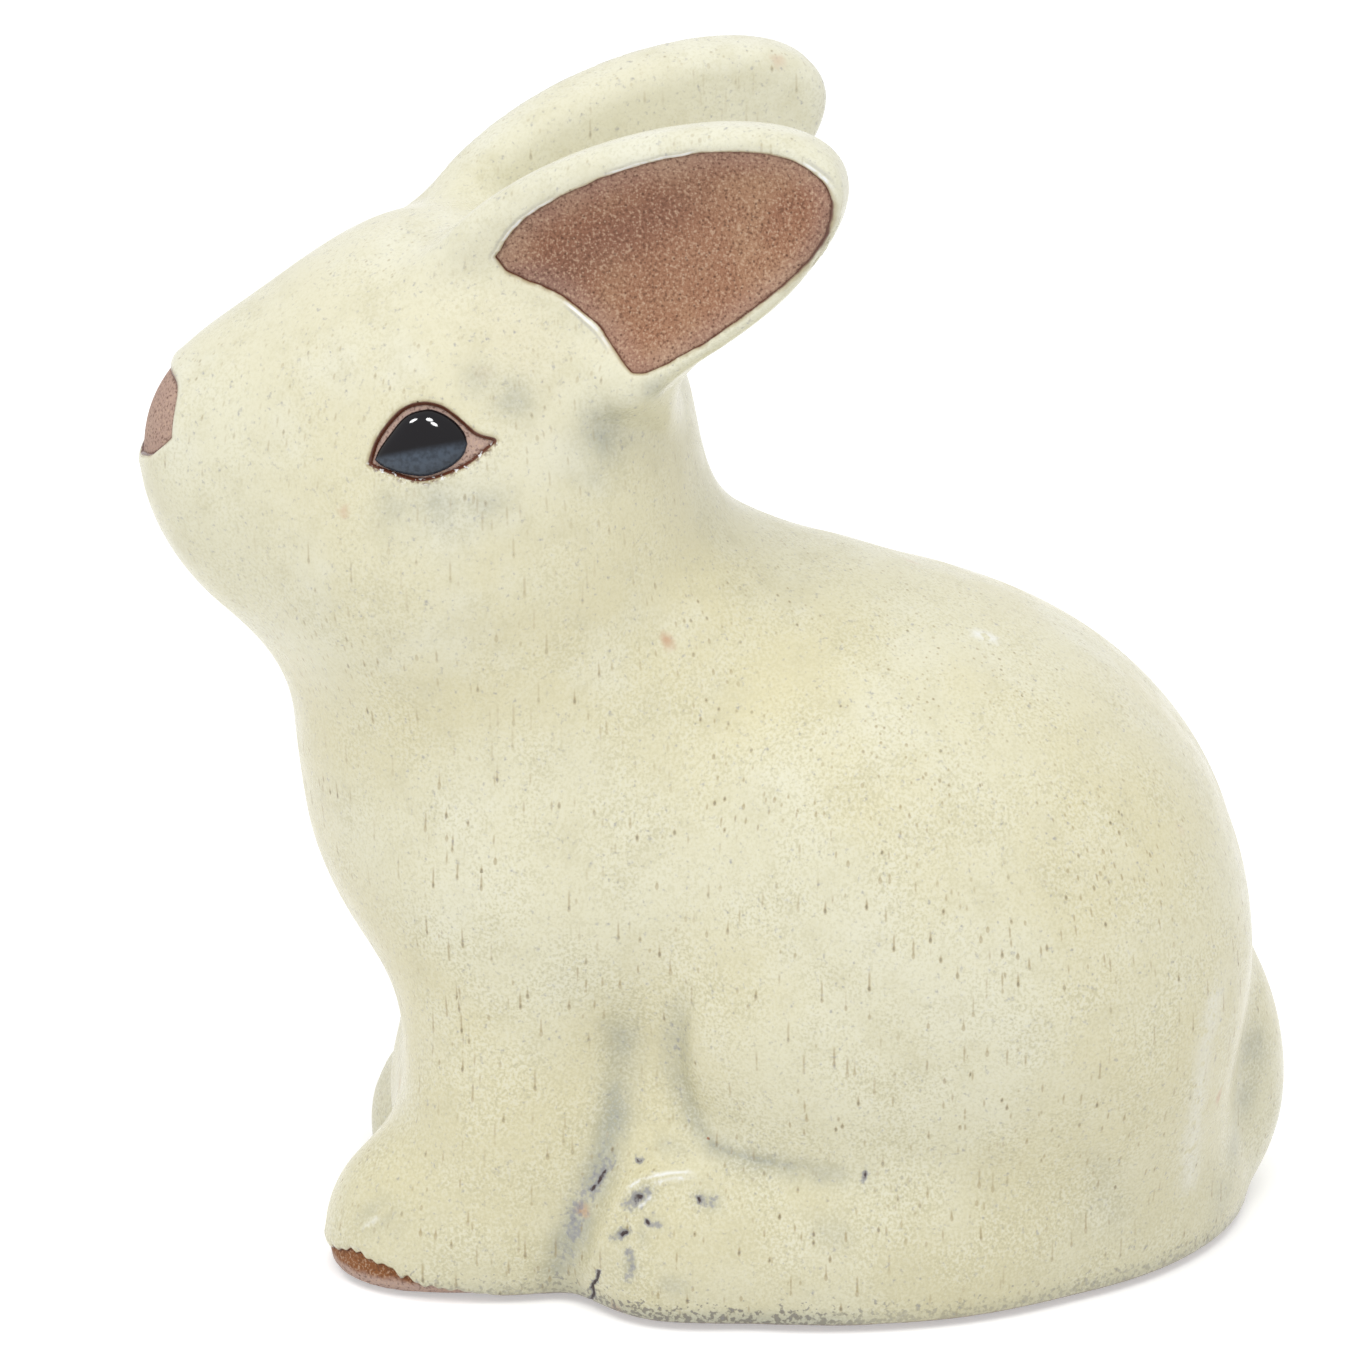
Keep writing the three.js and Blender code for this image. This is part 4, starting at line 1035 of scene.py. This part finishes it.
def creamGlaze(look):
    board = Board(bpy.data.materials.new("cream glaze"), look, "cream")
    bare, poolAndShade, dark, glint, rim, lid, line = [board.attribute(name) for name in
                                               ("bare", "poolAndShade", "dark", "glint", "rim", "lid", "line")]
    length, height = board.coordinate(1), board.coordinate(2)
    low = height.step(*look["lowPart"], (1, 0.3))
    cloud = board.noise(look["cloudSize"], 4, 0.65)
    grain = board.noise(look["grainSize"], 3)
    dust = board.noise(look["dustSize"], 3)

    # Cream in warm blotches and mottled, paler towards the head and in patches on the back as painted
    # light, darker towards the foot as painted shade, and greyer where glaze has pooled in hollows and
    # shade is painted there.
    board.lay(board.noise(look["blotchSize"]).step(0.38, 0.64), "warm")
    # Painted light from above: paler towards the head.
    board.lay(height.step(*look["litHead"]) * 0.5, "pale")
    # Painted shade: darker towards the foot.
    board.lay(height.step(*look["shadedFoot"], (0.4, 0)), "mottle")
    # Painted soft highlights in patches on the back.
    sheenPatches = board.noise(5, 3, 0.6).step(0.48, 0.7) * height.step(*look["sheenBack"], (0.2, 0.4))
    board.lay(sheenPatches, "pale")
    board.lay(cloud.step(0.45, 0.72) * 0.4, "mottle")
    board.lay(poolAndShade * (cloud.step(0.3, 0.66) * 0.5 + 0.45), "poolAndShade")
    speckle = (low * 0.25 + 0.07) * board.noise(3).step(0.35, 0.65, (0.6, 1.4)) + poolAndShade * 0.2 + lid * 0.4
    board.lay(grain.step(0.5, 0.62) * speckle * (1 - poolAndShade * 0.8), "pale")
    board.lay(grain.fall(0.38, 0.5) * speckle, "speck")

    # Pinholes: a dark hole in a tan dot, at the foot of a tan trail.
    upright = board.stretched(1, 1, 0.2)
    nearest = board.cells(look["pinholeSize"], upright, "Position")
    away = board.add("ShaderNodeVectorMath", {"operation": "SUBTRACT"}, {0: upright, 1: nearest})
    across, deep, up = [board.coordinate(axis, away) * (1 / millimetre) for axis in range(3)]
    across = (across ** 2 + deep ** 2) ** 0.5
    up = up * 5
    patches = board.noise(5).step(0.4, 0.56, (0.4, 1)) * low.step(0.2, 1, (0.5, 1))
    trail = across.fall(0.04, 0.15) * up.step(-0.8, -0.3) * up.fall(0.4, 1.3)
    dot = ((up * 0.5 + 0.35) ** 2 + across ** 2) ** 0.5 + board.noise(0.25, 1) * 0.08
    hole = dot.fall(0.11, 0.16) * board.noise(1.2, 1).step(0.4, 0.56)
    board.lay(trail * patches * 0.5, "tan")
    board.lay(dot.fall(0.17, 0.24) * patches * 0.4, "tan")
    board.lay(hole * patches * 0.45, "core")
    flecks = board.cells(look["fleckSize"], board.stretched(1, 0.7, 0.7)) + board.noise(0.9, 3) * 0.12
    flecks = flecks.fall(0.09, 0.16) * board.noise(12).step(0.45, 0.6)
    board.lay(flecks * 0.7, "fleck")

    # Painted shade along the foot and grey grime over it, both strongest between the front leg and
    # the hind foot, and a brown line at the very bottom.
    under = length.step(*look["shadeAndGrimeFrom"]) * length.fall(*look["shadeAndGrimeTo"]) * 0.6 + 0.4
    # Painted shade low on the foot.
    board.lay(height.fall(*look["footShade"]) * under * 0.5, "poolAndShade")
    thick = (dust + height.step(*look["grimeBand"], (0.12, -0.08))).step(0.56, 0.66)
    board.lay(thick * height.fall(*look["grimeTop"]) * under * 0.7, "grime")
    board.lay(height.fall(*look["footLine"]) * 0.7, "line")

    # The dark of the tool's cuts, and the tan and brown edge where the glaze thins out.
    ragged = dark + dust * 1.4 - 0.7
    board.lay(ragged.step(0.1, 0.5) * 0.7, "violet")
    board.lay(ragged.step(0.5, 0.9), "pit")
    edge = bare - line * 0.2
    thin = edge.fall(0.05, 0.35) * board.noise(0.8).step(0.3, 0.55)
    board.lay(thin * 0.6, "tan")
    board.lay(lid * board.noise(0.25).step(0.48, 0.6) * 0.8, "line")
    board.lay((edge - board.noise(0.5) * 0.1).fall(-0.06, 0.06), "line")

    # Painted highlights: white glints with a band of painted grey shade beside those on the lip, and
    # painted flecks of light on the eyelids.
    board.lay(rim * bare.step(0.42, 0.52) * bare.fall(0.58, 0.8) * 0.35, "violet")
    lit = rim * bare.step(0.14, 0.22) * bare.fall(0.36, 0.46) + glint
    sparks = lit * board.noise(0.6).step(0.3, 0.5) + lid * board.noise(0.22).fall(0.33, 0.42)
    board.lay(sparks, "glint")

    relief = board.noise(3.2) * 0.5 + board.noise(0.8) * 0.12 + grain * 0.1
    relief = relief - (hole + trail * 0.3) * patches * 0.5
    return board.finish({"Roughness": board.noise(1.5, 3).step(0.35, 0.7, look["roughness"]),
                         "Normal": board.bump(relief, *look["relief"]), "IOR": look["refraction"]})


clayLook = {
    "clay": tint(161, 117, 90), "red": tint(150, 104, 80), "sandy": tint(174, 135, 105),
    "pale": tint(206, 176, 150), "dark": tint(92, 60, 44), "deep": tint(136, 94, 75),
    "ochre": tint(140, 86, 42), "rosy": tint(200, 176, 166), "line": tint(76, 42, 28),
    "grainSize": 0.15, "paleGrit": 0.5, "darkGrit": 0.62, "ochreToe": (0.006, 0.01),
    "rosyBand": (0.0019, 0.0027), "bandWave": 0.001, "relief": (0.6, 0.1), "roughness": 0.8,
}


def bareClay(look):
    board = Board(bpy.data.materials.new("bare clay"), look, "clay")
    edge, rosy, shade = [board.attribute(name) for name in ("edge", "rosy", "shade")]
    height = board.coordinate(2)
    board.lay(board.noise(7).step(0.36, 0.64), "red")
    board.lay(board.noise(3, 3).step(0.42, 0.66) * 0.8, "sandy")
    # Painted shade along the hollow of the ear's face.
    board.lay(shade * 0.8, "deep")
    board.lay(height.fall(*look["ochreToe"]), "ochre")
    band = (height + board.noise(0.9) * look["bandWave"]).fall(*look["rosyBand"])
    board.lay(rosy.most(band) * 0.8, "rosy")
    grain = board.noise(look["grainSize"], 3, 0.6)
    board.lay(grain.step(0.52, 0.66) * 0.6, "pale")
    board.lay(grain.fall(0.34, 0.48) * 0.6, "dark")
    board.lay(board.cells(look["paleGrit"]).fall(0.1, 0.22) * 0.6, "pale")
    board.lay(board.cells(look["darkGrit"]).fall(0.1, 0.24) * 0.7, "dark")
    board.lay(edge * board.noise(0.7).step(0.3, 0.55, (0.5, 0.9)), "line")
    normal = board.bump(grain + board.noise(0.8) * 0.5, *look["relief"])
    return board.finish({"Roughness": look["roughness"], "Normal": normal})


# The black glaze; its "sheen" is a painted reflection on the drop's lower part.
blackLook = {"black": tint(12, 10, 13), "sheen": tint(56, 64, 74), "relief": (0.3, 0.05),
             "roughness": 0.05, "refraction": 1.34}


def blackGlaze(look):
    board = Board(bpy.data.materials.new("black glaze"), look, "black")
    # Painted reflection, grey-blue, on the lower part of the drop.
    board.lay(board.attribute("low") * board.noise(0.25, 3).step(0.3, 0.6, (0.55, 1)), "sheen")
    normal = board.bump(board.noise(1.4, 1), *look["relief"])
    return board.finish({"Roughness": look["roughness"], "Normal": normal, "IOR": look["refraction"]})


def dress(pieces, material):
    for piece in pieces:
        piece.data.materials.clear()
        piece.data.materials.append(material)


dress([coat], creamGlaze(creamLook))
dress(clayPieces + [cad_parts[name] for name in clayNodes], bareClay(clayLook))
dress(drops, blackGlaze(blackLook))
print("materials: made")


# Studio: a white floor that keeps the shadow, even light from all round, a broad soft lamp above,
# a low lamp in front, and three small lamps that shine on the eyes alone.
studio = {
    "floorHalf": 3.0, "floor": tint(243, 243, 243), "floorRoughness": 0.9, "floorGlow": 0.4,
    "around": 0.66, "aim": (0, 0, 0.05),
    "lamps": [
        {"name": "soft lamp", "place": (0.45, -0.1, 1.1), "size": 0.9, "energy": 6.4, "eyes": False},
        {"name": "low lamp", "place": (0.4, -1.0, 0.12), "size": 0.6, "energy": 0.5, "eyes": False},
        {"name": "front spark", "place": (0.284, -0.618, 0.841), "size": 0.2, "energy": 5, "eyes": True},
        {"name": "middle spark", "place": (0.533, -0.212, 0.917), "size": 0.2, "energy": 5, "eyes": True},
        {"name": "rear spark", "place": (0.684, -0.141, 0.817), "size": 0.14, "energy": 2.5, "eyes": True},
    ],
}


# 1 for rays that show the background itself, 0 for those that carry light.
def seenRays(board):
    rays = ("Is Camera Ray", "Is Glossy Ray", "Is Transmission Ray")
    camera, glossy, through = [board.add("ShaderNodeLightPath", output=ray) for ray in rays]
    return camera.most(glossy).most(through)


def makeFloor(look):
    bm = bmesh.new()
    bmesh.ops.create_grid(bm, x_segments=1, y_segments=1, size=look["floorHalf"])
    mesh = bpy.data.meshes.new("floor")
    bm.to_mesh(mesh)
    bm.free()
    floor = addObject("floor", mesh)
    board = Board(bpy.data.materials.new("white floor"), look, "floor")
    glow = board.mix(seenRays(board), (0, 0, 0, 1), (1, 1, 1, 1))
    dress([floor], board.finish({"Roughness": look["floorRoughness"], "Specular IOR Level": 0,
                                 "Emission Color": glow, "Emission Strength": look["floorGlow"]}))


def makeWorld(look):
    world = bpy.data.worlds.new("studio")
    bpy.context.scene.world = world
    board = Board(world, look)
    level = board.add("ShaderNodeMapRange", {}, {"Value": seenRays(board), "To Min": look["around"]})
    background = board.add("ShaderNodeBackground", {}, {"Color": (1, 1, 1, 1), "Strength": level})
    board.add("ShaderNodeOutputWorld", {}, {"Surface": background}, None)


eyesOnly = bpy.data.collections.new("eyes only")
for piece in drops:
    eyesOnly.objects.link(piece)


def makeLamp(spec, aim):
    data = bpy.data.lights.new(spec["name"], "AREA")
    data.shape = "DISK"
    data.size = spec["size"]
    data.energy = spec["energy"]
    lamp = addObject(spec["name"], data)
    lamp.location = spec["place"]
    lamp.rotation_euler = (lamp.location - Vector(aim)).to_track_quat("Z", "Y").to_euler()
    lamp.visible_glossy = spec["eyes"]
    if spec["eyes"]:
        lamp.light_linking.receiver_collection = eyesOnly


def makeStudio(look):
    makeFloor(look)
    makeWorld(look)
    for spec in look["lamps"]:
        makeLamp(spec, look["aim"])
    bpy.context.scene.view_settings.view_transform = "Standard"


makeStudio(studio)
print("studio: made")
